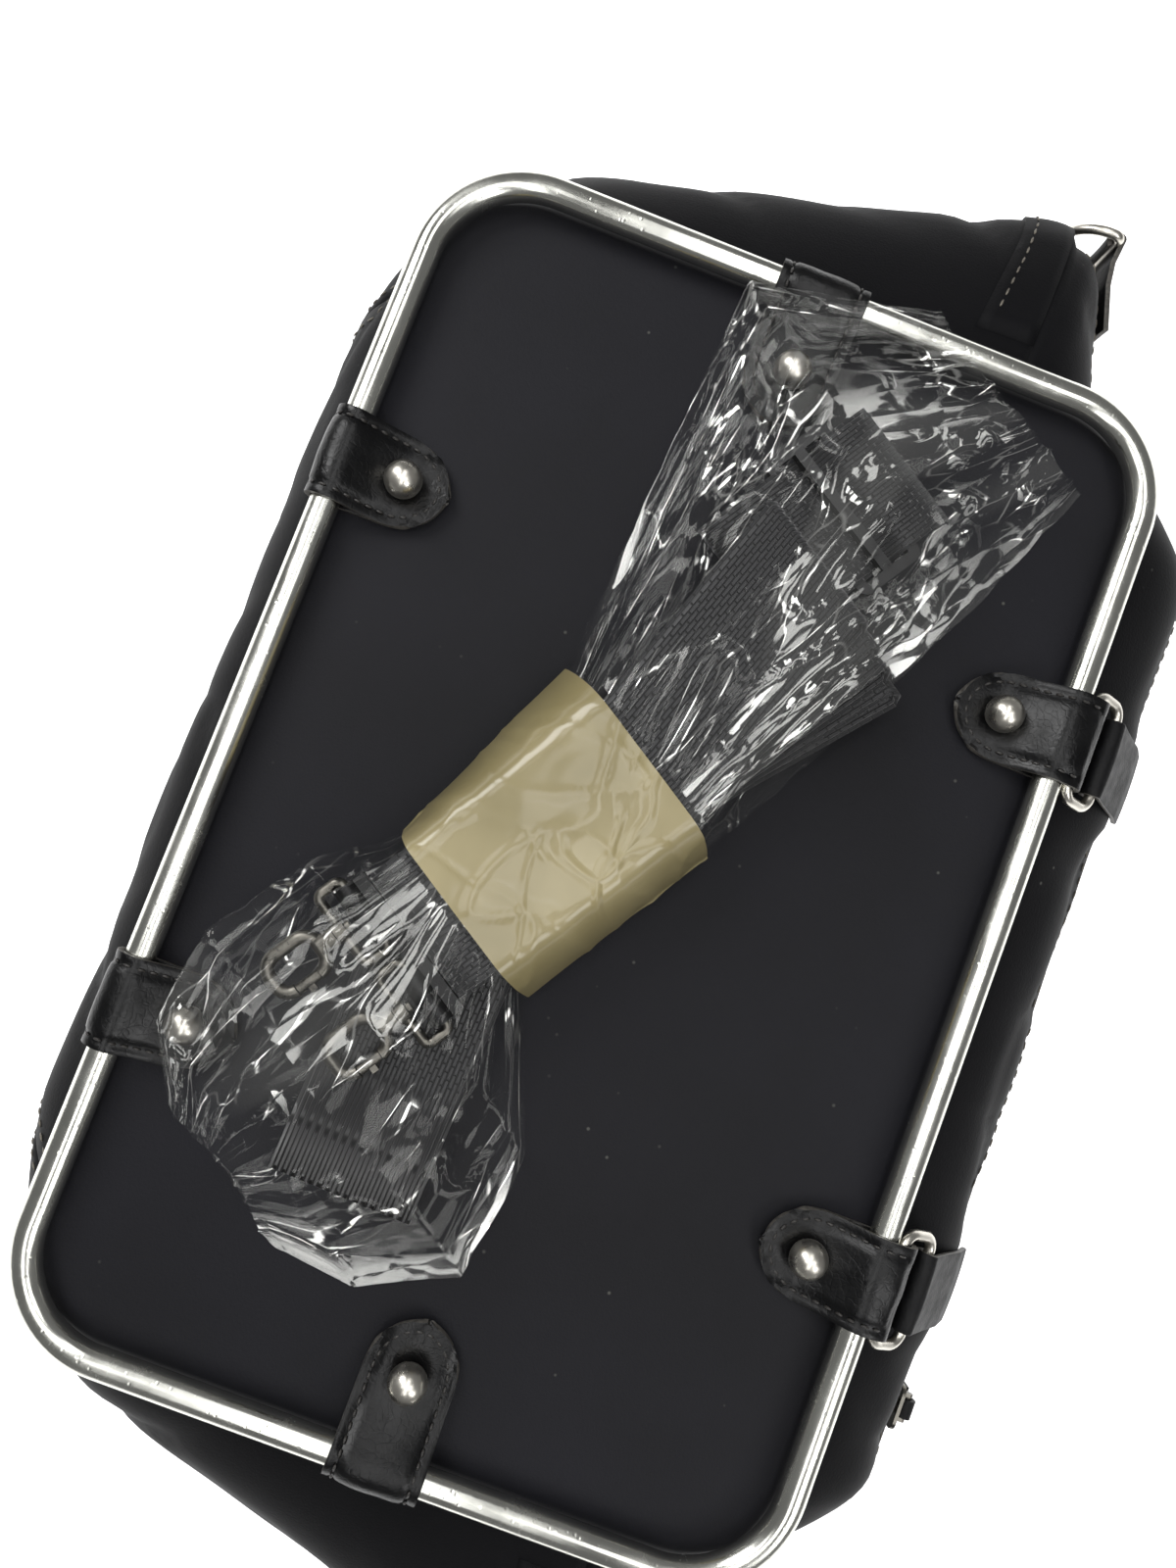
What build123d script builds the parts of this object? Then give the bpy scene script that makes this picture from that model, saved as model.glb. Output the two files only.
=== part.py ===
from build123d import *
import os
from math import cos, radians, sin

# Soft frame handbag lying on its back, in millimetres. X runs along the long
# side of the bag, Y points to its zipped top and Z out of its framed front.

os.makedirs("parts", exist_ok=True)

# ---------------------------------------------------------------- driving sizes
frame_length = 330.0  # tube centreline, along X
frame_width = 208.0  # tube centreline, along Y
frame_corner = 28.0  # tube centreline bend
frame_spacing = 78.0  # back tube centre to front tube centre
tube_radius = 4.0
tube_wall = 1.0

leather = 1.8
leather_gap = 0.15  # leather to the tube or wire that it wraps
crown_flat = 0.2  # how far the back loops are pressed flat where the bag lies

tab_width = 25.0
long_side_tab_reach = 29.5
short_side_tab_reach = 36.7
long_side_stud_reach = 17.5
short_side_stud_reach = 22.4
tab_wedge_reach = 13.0  # where the two layers of a tab meet
tab_point = 15.5  # length of the rounded point
tab_cheek_back = 5.0  # a place on the point's curve, back from the tip
tab_cheek_half = 8.25  # and half the point's width there
far_tab_x = -75.5
near_tab_x = 78.0

ball_radius = 5.2
ball_sink = 1.0  # how much of the ball is cut off where it sits on the leather
post_radius = 2.0
post_gap = 0.1
screw_head_radius = 4.5
screw_head_height = 1.4
screw_radius = 1.25
screw_reach = 5.5  # shank up into the stud's post

cover_thickness = 1.2
board_thickness = 3.2
board_gap = 0.4
lining_thickness = 0.8

gusset_wall = 2.0
seam_rim = 6.0  # width of the seam allowance under the cover
bottom_bulge = 17.0
top_bulge = 34.0
ear_reach = 64.0  # how far a zip end stands out past the frame
ear_inset = 34.0  # middle of the zip end, in from the frame's zipped side
ear_half = 8.0
ear_root_drop = 12.0  # how far the wall gathers down from the zip end to the face
ear_root_half = 4.0
base_flat_inset = 17.0  # the base's straight run stops this far inside the frame's
base_bend_out = 12.0
base_end_out = 19.0
base_end_drop = 8.0
bend_inset = 7.0  # both rounded corners at their fullest, in from the frame's end
top_bend_out = 14.0
top_start_out = 7.0
top_start_drop = 9.0
top_flat_out = 3.0
zip_panel_rise = 6.0  # zip panels reach this far below the middle of the zip ends
bottom_seam_inset = 37.0  # base panel's end seam, in from the frame's end

zip_band_half = 8.0
chain_half = 2.6
chain_slot_half = 0.6
chain_thickness = 1.2
slider_length = 13.0
slider_half = 4.4
slider_plate = 1.0
slider_gap = 0.3
slider_rest_x = 118.0
bail_radius = 1.1
bail_half = 3.0
bail_post = 1.2
pull_length = 30.0
pull_width = 9.0
pull_thickness = 2.0
pull_eye_gap = 0.3
pull_eye_wall = 1.0

wire_radius = 1.5
side_ring_length = 33.0  # outside, along the tube
side_ring_pitch = 12.0  # bar centre to bar centre
side_ring_tilt = 35.0
side_ring_bend = 3.9
side_chape_width = 22.0
chape_gap = 0.2  # leather to the wall under it
side_chape_lean = 65.0  # way from the wall to the leather, above level
side_wrap_lean = 56.5  # where the leather leaves the ring's bar, above level
end_ring_half = 12.0  # half the straight bar, to the wire's centre
end_ring_bend = 2.2
end_ring_reach = 15.0
end_chape_width = 19.0
end_chape_run = 26.0
end_bar_offset = 2.7  # bar from the zip end's corner, each way
end_chape_start = 5.0  # where the leather meets the zip end
end_wrap_lean = 9.5  # where the leather leaves the ring's bar, above level

webbing_width = 38.0
webbing_thickness = 1.5
webbing_pitch = 2.4
webbing_layers = 8
bundle_near = -41.0
bundle_far = 94.0
bundle_base = 8.8
stray_start = (-24.0, 2.0, 12.2)  # where a flat fold slips out of the bundle
stray_angle = 30.0
stray_length = 54.0
stray_thickness = 2.8
slide_place = (112.0, 22.0, 14.6)
slide_length = 20.0
slide_rail = 3.0
hook_start = 49.0  # eye bar from the middle of the packet
hook_w = 18.5
hook_side_gap = 1.2  # between the two hooks' eyes
hook_wire = 1.4
eye_pitch = 7.0
eye_width = 24.0
boss_length = 3.0
swivel_radius = 1.0
swivel_gap = 0.25
collar_length = 3.0
claw_length = 18.0
claw_width = 14.0
claw_wire = 1.8
claw_bend = 4.0
gate_length = 7.0
film_thickness = 0.5
tape_thickness = 0.5
tape_width = 60.0
tape_gap = 0.2
packet_angle = 32.0  # between the packet's length and the bag's long side
packet_lift = 1.0  # clear of the face

# -------------------------------------------------------------- worked-out sizes
loop_radius = tube_radius + leather_gap + leather
back_tube_z = loop_radius - crown_flat
front_tube_z = back_tube_z + frame_spacing
mid_z = (back_tube_z + front_tube_z) / 2
face_z = front_tube_z - loop_radius
tongue_z = face_z + 2 * leather
gusset_half = face_z - cover_thickness - mid_z
half_length = frame_length / 2
half_width = frame_width / 2
slider_top = slider_gap + slider_plate
pull_eye_radius = bail_radius + pull_eye_gap + pull_eye_wall
bail_reach = slider_top + slider_gap + pull_eye_radius
top_furniture = bail_reach + pull_eye_radius
frame_y = (bottom_bulge - top_bulge - top_furniture) / 2
mid_plane = Plane.XY.offset(mid_z)
ear_y = half_width - ear_inset
gusset_seam_y = ear_y - zip_panel_rise
bottom_seam_x = half_length - bottom_seam_inset

# Relative height above the middle of the bag, and how full the bag is there.
# The wall leaves the seam just outside the cover's edge.
LEVELS = [(1, 0.02), (0.74, 0.6), (0.48, 0.9), (zip_band_half / gusset_half, 1)]


def level(z):
    """Plane at height z, centred on the frame."""
    return Plane((0, frame_y, z))


def save(builder, name):
    builder.part.label = name
    export_step(builder.part, f"parts/{name}.step")


def mirrored(builder, name):
    """The same piece on the back of the bag."""
    with BuildPart() as back:
        mirror(builder.part, about=mid_plane)
    save(back, name)


def sweep_round(path, radius, mode=Mode.ADD):
    """Sweep a round section along a path inside the current part."""
    with BuildSketch(Plane(path @ 0, z_dir=path % 0)) as section:
        Circle(radius)
    sweep(section.sketch, path=path, mode=mode)


# ------------------------------------------------------------------ tube frames
with BuildSketch(level(front_tube_z)) as frame_line:
    RectangleRounded(frame_length, frame_width, frame_corner)
frame_path = frame_line.sketch.faces()[0].outer_wire()

with BuildPart() as front_tube_frame:
    sweep_round(frame_path, tube_radius)
    sweep_round(frame_path, tube_radius - tube_wall, Mode.SUBTRACT)
save(front_tube_frame, "front_tube_frame")
mirrored(front_tube_frame, "back_tube_frame")


# ------------------------------------------------- leather tabs with ball studs
def inward(x, y):
    """Unit direction from a tab's place on the tube to the middle of the face."""
    if abs(x) == half_length:
        return Vector(-x / half_length, 0, 0)
    return Vector(0, -y / half_width, 0)


def tab_spot(x, y):
    return Vector(x, frame_y + y, front_tube_z)


def make_tab(x, y, reach, holds_ring):
    """One strap folded round the tube, sewn flat on the face with a pointed end."""
    spot = tab_spot(x, y)
    u = inward(x, y)
    along = u.cross(Vector(0, 0, 1))
    ring_bar = -(tube_radius + wire_radius + leather_gap)
    with BuildPart() as tab:
        with BuildSketch(Plane(spot, x_dir=u, z_dir=along)) as profile:
            Circle(loop_radius)
            with Locations((tab_wedge_reach / 2, leather - loop_radius)):
                Rectangle(tab_wedge_reach, 2 * leather)
            if holds_ring:
                with Locations((ring_bar, 0)):
                    Circle(wire_radius + leather_gap + leather)
            make_hull()
            with Locations((reach / 2, leather - loop_radius)):
                Rectangle(reach, 2 * leather)
            Circle(tube_radius + leather_gap, mode=Mode.SUBTRACT)
            if holds_ring:
                with Locations((ring_bar, 0)):
                    Circle(wire_radius + leather_gap, mode=Mode.SUBTRACT)
        extrude(amount=tab_width / 2, both=True)
        with BuildSketch(Plane(spot, x_dir=u, z_dir=(0, 0, 1))):
            with BuildLine():
                shoulder = reach - tab_point
                cheek = reach - tab_cheek_back
                tail = -3 * loop_radius
                Polyline(
                    (shoulder, -tab_width / 2),
                    (tail, -tab_width / 2),
                    (tail, tab_width / 2),
                    (shoulder, tab_width / 2),
                )
                ThreePointArc(
                    (shoulder, tab_width / 2),
                    (cheek, tab_cheek_half),
                    (reach, 0),
                )
                ThreePointArc(
                    (reach, 0),
                    (cheek, -tab_cheek_half),
                    (shoulder, -tab_width / 2),
                )
            make_face()
        extrude(amount=2 * loop_radius, both=True, mode=Mode.INTERSECT)
        stud = stud_spot(x, y)
        with Locations(stud):
            Cylinder(post_radius + post_gap, 4 * leather, mode=Mode.SUBTRACT)
    return tab


def stud_spot(x, y):
    """Where a stud's post crosses the face."""
    reach = short_side_stud_reach if abs(x) == half_length else long_side_stud_reach
    spot = tab_spot(x, y) + inward(x, y) * reach
    return Vector(spot.X, spot.Y, face_z)


TABS = {
    "far_tab": (-half_length, 0, False),
    "near_tab": (half_length, 0, False),
    "base_far_tab": (far_tab_x, -half_width, False),
    "base_near_tab": (near_tab_x, -half_width, False),
    "zip_far_tab": (far_tab_x, half_width, True),
    "zip_near_tab": (near_tab_x, half_width, True),
}
for name, (x, y, holds_ring) in TABS.items():
    reach = short_side_tab_reach if abs(x) == half_length else long_side_tab_reach
    tab = make_tab(x, y, reach, holds_ring)
    save(tab, f"front_{name}")
    with BuildPart() as back_tab:
        mirror(tab.part, about=mid_plane)
        Box(
            2 * frame_length,
            2 * frame_length,
            4 * crown_flat,
            align=(Align.CENTER, Align.CENTER, Align.MAX),
            mode=Mode.SUBTRACT,
        )
    save(back_tab, f"back_{name}")

stud_spots = [stud_spot(x, y) for x, y, holds_ring in TABS.values()]
board_floor_z = face_z - cover_thickness - board_thickness
screw_seat_z = board_floor_z + screw_head_height + post_gap

with BuildPart() as front_studs:
    for spot in stud_spots:
        with Locations((spot.X, spot.Y, tongue_z + ball_radius - ball_sink)):
            Sphere(ball_radius)
        with Locations((spot.X, spot.Y, tongue_z)):
            Cylinder(
                ball_radius,
                ball_radius,
                align=(Align.CENTER, Align.CENTER, Align.MAX),
                mode=Mode.SUBTRACT,
            )
            Cylinder(
                post_radius,
                tongue_z - screw_seat_z,
                align=(Align.CENTER, Align.CENTER, Align.MAX),
            )
        with Locations((spot.X, spot.Y, screw_seat_z)):
            Cylinder(
                screw_radius,
                2 * (tongue_z - screw_seat_z),
                mode=Mode.SUBTRACT,
            )
save(front_studs, "front_studs")
mirrored(front_studs, "back_studs")

with BuildPart() as front_stud_screws:
    for spot in stud_spots:
        with Locations((spot.X, spot.Y, screw_seat_z)):
            Cylinder(
                screw_head_radius,
                screw_head_height,
                align=(Align.CENTER, Align.CENTER, Align.MAX),
            )
            Cylinder(
                screw_radius,
                screw_reach,
                align=(Align.CENTER, Align.CENTER, Align.MIN),
            )
save(front_stud_screws, "front_stud_screws")
mirrored(front_stud_screws, "back_stud_screws")

# ---------------------------------------- face panels: cover, board and lining
with BuildPart() as front_cover:
    with BuildSketch(level(face_z - cover_thickness)):
        RectangleRounded(frame_length, frame_width, frame_corner)
    extrude(amount=cover_thickness)
    for spot in stud_spots:
        with Locations(spot):
            Cylinder(post_radius + post_gap, 4 * cover_thickness, mode=Mode.SUBTRACT)
save(front_cover, "front_cover")
mirrored(front_cover, "back_cover")

board_inset = seam_rim + board_gap
with BuildPart() as front_board:
    with BuildSketch(level(board_floor_z)):
        RectangleRounded(
            frame_length - 2 * board_inset,
            frame_width - 2 * board_inset,
            frame_corner - board_inset,
        )
    extrude(amount=board_thickness)
    for spot in stud_spots:
        with Locations(spot):
            Cylinder(post_radius + post_gap, 4 * board_thickness, mode=Mode.SUBTRACT)
        with Locations((spot.X, spot.Y, screw_seat_z)):
            Cylinder(
                screw_head_radius + post_gap,
                2 * screw_head_height,
                align=(Align.CENTER, Align.CENTER, Align.MAX),
                mode=Mode.SUBTRACT,
            )
save(front_board, "front_board")
mirrored(front_board, "back_board")

with BuildPart() as front_lining:
    with BuildSketch(level(board_floor_z - lining_thickness)):
        RectangleRounded(
            frame_length - 2 * board_inset,
            frame_width - 2 * board_inset,
            frame_corner - board_inset,
        )
    extrude(amount=lining_thickness)
save(front_lining, "front_lining")
mirrored(front_lining, "back_lining")

# ------------------------------------------------------- gusset walls and zip
diagonal = sin(radians(45))
corner_cut = frame_corner * (1 - diagonal)
corner_x = half_length - frame_corner
corner_y = half_width - frame_corner
bulge_y = half_width + top_bulge
base_y = half_width + bottom_bulge
ear_x = half_length + ear_reach
bend_x = half_length - bend_inset

# One end of the bag, from the base round to the top: each point at the face,
# at the fullest height, and the way the wall's thickness lies from it.
END_POINTS = {
    "base_start": ((corner_x, -half_width), (corner_x - base_flat_inset, -base_y), (0, 1)),
    "base_bend": (
        (half_length - corner_cut, corner_cut - half_width),
        (bend_x, corner_cut - half_width - base_bend_out),
        (-diagonal, diagonal),
    ),
    "base_end": (
        (half_length, -corner_y),
        (half_length + base_end_out, -corner_y - base_end_drop),
        (-1, 0),
    ),
    "ear_start": (
        (half_length, ear_y - ear_half - ear_root_drop),
        (ear_x, ear_y - ear_half),
        (-1, 0),
    ),
    "ear_end": ((half_length, ear_y - ear_root_half), (ear_x, ear_y + ear_half), (-1, -1)),
    "top_start": (
        (half_length, corner_y),
        (half_length + top_start_out, half_width - top_start_drop),
        (-1, -1),
    ),
    "top_bend": (
        (half_length - corner_cut, half_width - corner_cut),
        (bend_x, half_width + top_bend_out),
        (-diagonal, -diagonal),
    ),
    "top_end": ((corner_x, half_width), (corner_x + top_flat_out, bulge_y), (0, -1)),
}


def end_point(name, fullness, inset, side=1):
    face, full, inner = END_POINTS[name]
    x = face[0] + (full[0] - face[0]) * fullness + inner[0] * inset
    y = face[1] + (full[1] - face[1]) * fullness + inner[1] * inset
    return (side * x, y)


def gusset_section(height, fullness, inset):
    """The bag's outline at one height."""

    def at(name, side):
        return end_point(name, fullness, inset, side)

    with BuildSketch(level(height)) as section:
        with BuildLine():
            Line(at("base_start", -1), at("base_start", 1))
            ThreePointArc(at("base_start", 1), at("base_bend", 1), at("base_end", 1))
            Polyline(*[at(n, 1) for n in ("base_end", "ear_start", "ear_end", "top_start")])
            ThreePointArc(at("top_start", 1), at("top_bend", 1), at("top_end", 1))
            Line(at("top_end", 1), at("top_end", -1))
            ThreePointArc(at("top_end", -1), at("top_bend", -1), at("top_start", -1))
            Polyline(*[at(n, -1) for n in ("top_start", "ear_end", "ear_start", "base_end")])
            ThreePointArc(at("base_end", -1), at("base_bend", -1), at("base_start", -1))
        make_face()
    return section.sketch.faces()[0]


def gusset_loft(half_height, inset, mode):
    stations = [(-share, full) for share, full in LEVELS]
    stations += [(share, full) for share, full in reversed(LEVELS)]
    sections = [gusset_section(mid_z + share * half_height, full, inset) for share, full in stations]
    loft(sections, ruled=True, mode=mode)


with BuildPart() as gusset_wall_all:
    gusset_loft(gusset_half, 0, Mode.ADD)
    gusset_loft(gusset_half - gusset_wall, gusset_wall, Mode.SUBTRACT)
    with BuildSketch(level(mid_z)):
        RectangleRounded(
            frame_length - 2 * seam_rim,
            frame_width - 2 * seam_rim,
            frame_corner - seam_rim,
        )
    extrude(amount=2 * gusset_half, both=True, mode=Mode.SUBTRACT)


def gusset_piece(name, x_range, y_range, z_range):
    """The part of the gusset wall inside one block, as sewn panel."""
    with BuildPart() as piece:
        add(gusset_wall_all.part)
        size = [high - low for low, high in (x_range, y_range, z_range)]
        middle = [(high + low) / 2 for low, high in (x_range, y_range, z_range)]
        with Locations((middle[0], frame_y + middle[1], mid_z + middle[2])):
            Box(*size, mode=Mode.INTERSECT)
    save(piece, name)


far_x = 2 * frame_length
far_y = 2 * frame_width
far_z = 2 * frame_spacing
gusset_piece(
    "base_gusset", (-bottom_seam_x, bottom_seam_x), (-far_y, gusset_seam_y), (-far_z, far_z)
)
gusset_piece("near_end_gusset", (bottom_seam_x, far_x), (-far_y, gusset_seam_y), (-far_z, far_z))
gusset_piece("far_end_gusset", (-far_x, -bottom_seam_x), (-far_y, gusset_seam_y), (-far_z, far_z))
top_y = (gusset_seam_y, far_y)
gusset_piece("front_top_gusset", (-far_x, far_x), top_y, (zip_band_half, far_z))
gusset_piece("back_top_gusset", (-far_x, far_x), top_y, (-far_z, -zip_band_half))
gusset_piece("front_zip_tape", (-far_x, far_x), top_y, (chain_half, zip_band_half))
gusset_piece("back_zip_tape", (-far_x, far_x), top_y, (-zip_band_half, -chain_half))

with BuildPart() as zip_chain:
    add(gusset_wall_all.part)
    row = chain_half - chain_slot_half
    row_middle = (chain_half + chain_slot_half) / 2
    with Locations(
        (0, frame_y + gusset_seam_y + far_y / 2, mid_z + row_middle),
        (0, frame_y + gusset_seam_y + far_y / 2, mid_z - row_middle),
    ):
        Box(2 * far_x, far_y, row, mode=Mode.INTERSECT)
save(zip_chain, "zip_chain")

wall_y = frame_y + bulge_y
with BuildPart() as zip_slider:
    with Locations((slider_rest_x, wall_y + slider_gap + slider_plate / 2, mid_z)):
        Box(slider_length, slider_plate, 2 * slider_half)
    with Locations((slider_rest_x, wall_y - gusset_wall - slider_gap - slider_plate / 2, mid_z)):
        Box(slider_length, slider_plate, 2 * slider_half)
    fillet(zip_slider.edges().filter_by(Axis.Y), 2.5)
    with Locations((slider_rest_x, wall_y - gusset_wall / 2, mid_z)):
        Box(slider_length / 3, gusset_wall + 3 * slider_gap, chain_slot_half)
    for side in (-1, 1):
        post_x = slider_rest_x + side * (bail_half + bail_post / 2)
        with Locations((post_x, wall_y + slider_top + (bail_reach - slider_top) / 2, mid_z)):
            Box(bail_post, bail_reach - slider_top + 0.2, 2 * bail_radius)
    with Locations((slider_rest_x, wall_y + bail_reach, mid_z)):
        Cylinder(bail_radius, 2 * (bail_half + bail_post), rotation=(0, 90, 0))
save(zip_slider, "zip_slider")

neck_half = bail_half - pull_eye_gap
with BuildPart() as zip_pull:
    with BuildSketch(Plane((slider_rest_x, wall_y + bail_reach, mid_z), x_dir=(0, 1, 0), z_dir=(1, 0, 0))):
        Circle(pull_eye_radius)
        with Locations((0, -pull_eye_radius)):
            Rectangle(pull_thickness, 2 * pull_eye_radius)
        Circle(bail_radius + pull_eye_gap, mode=Mode.SUBTRACT)
    extrude(amount=neck_half, both=True)
    with Locations((slider_rest_x, wall_y + bail_reach, mid_z - pull_eye_radius - pull_length / 2 - 1)):
        Box(pull_width, pull_thickness, pull_length)
    fillet(zip_pull.edges().filter_by(Axis.Y).group_by(Axis.Z)[0], pull_width / 3)
save(zip_pull, "zip_pull")


# ----------------------------------------------------- rings and their chapes
def thick_line(points, thickness):
    """A strip of one thickness on the left of a run of points, as a polygon."""
    points = [Vector(*p) for p in points]
    normals = [(b - a).normalized().rotate(Axis.Z, 90) for a, b in zip(points, points[1:])]
    joints = [normals[0]] + [(a + b).normalized() for a, b in zip(normals, normals[1:])] + [normals[-1]]
    outer = [p + n * thickness for p, n in zip(points, joints)]
    return [(p.X, p.Y) for p in points + outer[::-1]]


side_bar = Vector(half_width + tube_radius + wire_radius + leather_gap, front_tube_z - mid_z)
tilt = radians(side_ring_tilt)
side_outer_bar = side_bar + Vector(cos(tilt), -sin(tilt)) * side_ring_pitch
wall_line = [
    Vector(half_width + top_bulge * full, share * gusset_half) for share, full in LEVELS[1:]
]
chape_lean = radians(side_chape_lean)
wrap_lean = radians(side_wrap_lean)
chape_out = Vector(cos(chape_lean), sin(chape_lean)) * 2 * chape_gap
wrap_out = Vector(cos(wrap_lean), sin(wrap_lean)) * (wire_radius + leather_gap)
side_chape_line = [side_outer_bar + wrap_out] + [p + chape_out for p in wall_line]


def make_side_ring(x):
    middle = (side_bar + side_outer_bar) / 2
    plane = Plane(
        (x, frame_y + middle.X, mid_z + middle.Y),
        x_dir=(1, 0, 0),
        z_dir=(0, sin(tilt), cos(tilt)),
    )
    with BuildSketch(plane) as ring_line:
        RectangleRounded(side_ring_length - 2 * wire_radius, side_ring_pitch, side_ring_bend)
    with BuildPart() as ring:
        sweep_round(ring_line.sketch.faces()[0].outer_wire(), wire_radius)
    return ring


def make_side_chape(x):
    with BuildPart() as chape:
        with BuildSketch(Plane((x, frame_y, mid_z), x_dir=(0, 1, 0), z_dir=(1, 0, 0))):
            with BuildLine():
                Polyline(*thick_line([(p.X, p.Y) for p in side_chape_line], leather), close=True)
            make_face()
            with Locations((side_outer_bar.X, side_outer_bar.Y)):
                Circle(wire_radius + leather_gap + leather)
                Circle(wire_radius + leather_gap, mode=Mode.SUBTRACT)
        extrude(amount=side_chape_width / 2, both=True)
    return chape


for place, x in (("far", far_tab_x), ("near", near_tab_x)):
    side_ring = make_side_ring(x)
    save(side_ring, f"front_{place}_ring")
    mirrored(side_ring, f"back_{place}_ring")
    side_chape = make_side_chape(x)
    save(side_chape, f"front_{place}_chape")
    mirrored(side_chape, f"back_{place}_chape")

ear_corner = Vector(*end_point("ear_end", 1, 0))
ear_root = Vector(*end_point("top_start", 1, 0))
end_bar = ear_corner + Vector(end_bar_offset, end_bar_offset)
along_ear = (ear_root - ear_corner).normalized()
off_ear = along_ear.rotate(Axis.Z, -90)
end_wrap = radians(end_wrap_lean)
end_wrap_out = Vector(cos(end_wrap), sin(end_wrap)) * (wire_radius + leather_gap)
end_chape_line = [
    end_bar + end_wrap_out,
    ear_corner + along_ear * end_chape_start + off_ear * chape_gap,
    ear_corner + along_ear * end_chape_run + off_ear * chape_gap,
]

with BuildPart() as near_end_chape:
    with BuildSketch(level(mid_z)):
        with BuildLine():
            Polyline(*thick_line([(p.X, p.Y) for p in end_chape_line], -leather), close=True)
        make_face()
        with Locations((end_bar.X, end_bar.Y)):
            Circle(wire_radius + leather_gap + leather)
            Circle(wire_radius + leather_gap, mode=Mode.SUBTRACT)
    extrude(amount=end_chape_width / 2, both=True)
save(near_end_chape, "near_end_chape")

ring_plane = Plane((end_bar.X, frame_y + end_bar.Y, mid_z), x_dir=(0, -1, 0), z_dir=(1, 0, 0))
with BuildSketch(ring_plane) as end_ring_line:
    with BuildLine():
        Polyline(
            (end_ring_half / 4, -end_ring_half),
            (0, -end_ring_half),
            (0, end_ring_half),
            (end_ring_half / 4, end_ring_half),
        )
        ThreePointArc(
            (end_ring_half / 4, end_ring_half),
            (end_ring_reach, 0),
            (end_ring_half / 4, -end_ring_half),
        )
    make_face()
    fillet(end_ring_line.vertices().sort_by(Axis.X)[:2], end_ring_bend)
with BuildPart() as near_end_ring:
    sweep_round(end_ring_line.sketch.faces()[0].outer_wire(), wire_radius)
save(near_end_ring, "near_end_ring")

for name, near in (("far_end_chape", near_end_chape), ("far_end_ring", near_end_ring)):
    with BuildPart() as far_piece:
        mirror(near.part, about=Plane.YZ)
    save(far_piece, name)

# --------------------------------------------- wrapped strap on top of the face
lie = radians(packet_angle)
packet_u = Vector(-cos(lie), sin(lie), 0)
packet_v = Vector(0, 0, 1).cross(packet_u)
packet_origin = Vector(-1, frame_y - 16, face_z + packet_lift)

# Along the packet: place, one side, other side, underside and top. Both flared
# ends lift to lie over the tube, a tab and its stud.
FILM_SECTIONS = [
    (-116, -40, 5, 14, 16),
    (-107, -60, 22, 13.5, 19),
    (-84, -74, 33, 13, 27),
    (-55, -62, 33, 0.8, 29),
    (-31, -29.5, 23.5, 0.8, 30),
    (31, -28.5, 32.5, 0.8, 30),
    (85, -24, 62, 6, 30),
    (130, -18, 85, 14, 24),
    (166, -12, 48, 14.5, 17.5),
]


def across(u):
    """Plane across the packet at u, local x to the packet's side and y up."""
    return Plane(packet_origin + packet_u * u, x_dir=packet_v, z_dir=packet_u)


def packet_point(u, v, w):
    return packet_origin + packet_u * u + packet_v * v + Vector(0, 0, w)


def film_section(u, v_low, v_high, w_low, w_high, inset):
    """The packet's cross-section at u, shrunk by inset on every side."""
    with BuildSketch(across(u)) as section:
        with Locations(((v_low + v_high) / 2, (w_low + w_high) / 2)):
            Rectangle(v_high - v_low - 2 * inset, w_high - w_low - 2 * inset)
    return section.sketch.faces()[0]


with BuildPart() as film_envelope:
    loft([film_section(*row, 0) for row in FILM_SECTIONS], ruled=True)
    inner = [film_section(*row, film_thickness) for row in FILM_SECTIONS[1:-1]]
    loft(inner, ruled=True, mode=Mode.SUBTRACT)
save(film_envelope, "film_envelope")

near_waist = FILM_SECTIONS[4]
far_waist = FILM_SECTIONS[5]


def tape_section(u, growth):
    share = (u - near_waist[0]) / (far_waist[0] - near_waist[0])
    sizes = [a + (b - a) * share for a, b in zip(near_waist[1:], far_waist[1:])]
    return film_section(u, *sizes, -growth)


with BuildPart() as tape_band:
    ends = (-tape_width / 2, tape_width / 2)
    loft([tape_section(u, tape_gap + tape_thickness) for u in ends], ruled=True)
    loft([tape_section(u, tape_gap) for u in ends], ruled=True, mode=Mode.SUBTRACT)
save(tape_band, "tape_band")

# The strap is folded to and fro into a flat bundle.
turn_radius = webbing_pitch / 2
turn_outer = turn_radius + webbing_thickness / 2
packet_side = Plane(packet_origin, x_dir=packet_u, z_dir=packet_v * -1)
first_layer_w = bundle_base + webbing_thickness / 2


def half_turn(side):
    """One folded end of the webbing, seen from the packet's side."""
    with BuildSketch() as turn:
        Circle(turn_outer)
        Circle(turn_radius - webbing_thickness / 2, mode=Mode.SUBTRACT)
        with Locations((side * turn_outer, 0)):
            Rectangle(2 * turn_outer, 2 * turn_outer, mode=Mode.INTERSECT)
    return turn.sketch


far_turn = half_turn(1)
near_turn = half_turn(-1)
with BuildPart() as shoulder_strap:
    with BuildSketch(packet_side):
        for layer in range(webbing_layers):
            layer_w = first_layer_w + layer * webbing_pitch
            with Locations(((bundle_near + bundle_far) / 2, layer_w)):
                Rectangle(bundle_far - bundle_near, webbing_thickness)
        for layer in range(webbing_layers - 1):
            turn_w = first_layer_w + (layer + 0.5) * webbing_pitch
            if layer % 2 == 0:
                with Locations((bundle_far, turn_w)):
                    add(far_turn)
            else:
                with Locations((bundle_near, turn_w)):
                    add(near_turn)
    extrude(amount=webbing_width / 2, both=True)
    stray_way = (packet_u * -1).rotate(Axis.Z, stray_angle)
    with BuildSketch(Plane(packet_point(*stray_start), x_dir=stray_way, z_dir=(0, 0, 1))):
        with Locations((stray_length / 2, 0)):
            Rectangle(stray_length, webbing_width)
    extrude(amount=stray_thickness)
save(shoulder_strap, "shoulder_strap")

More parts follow.
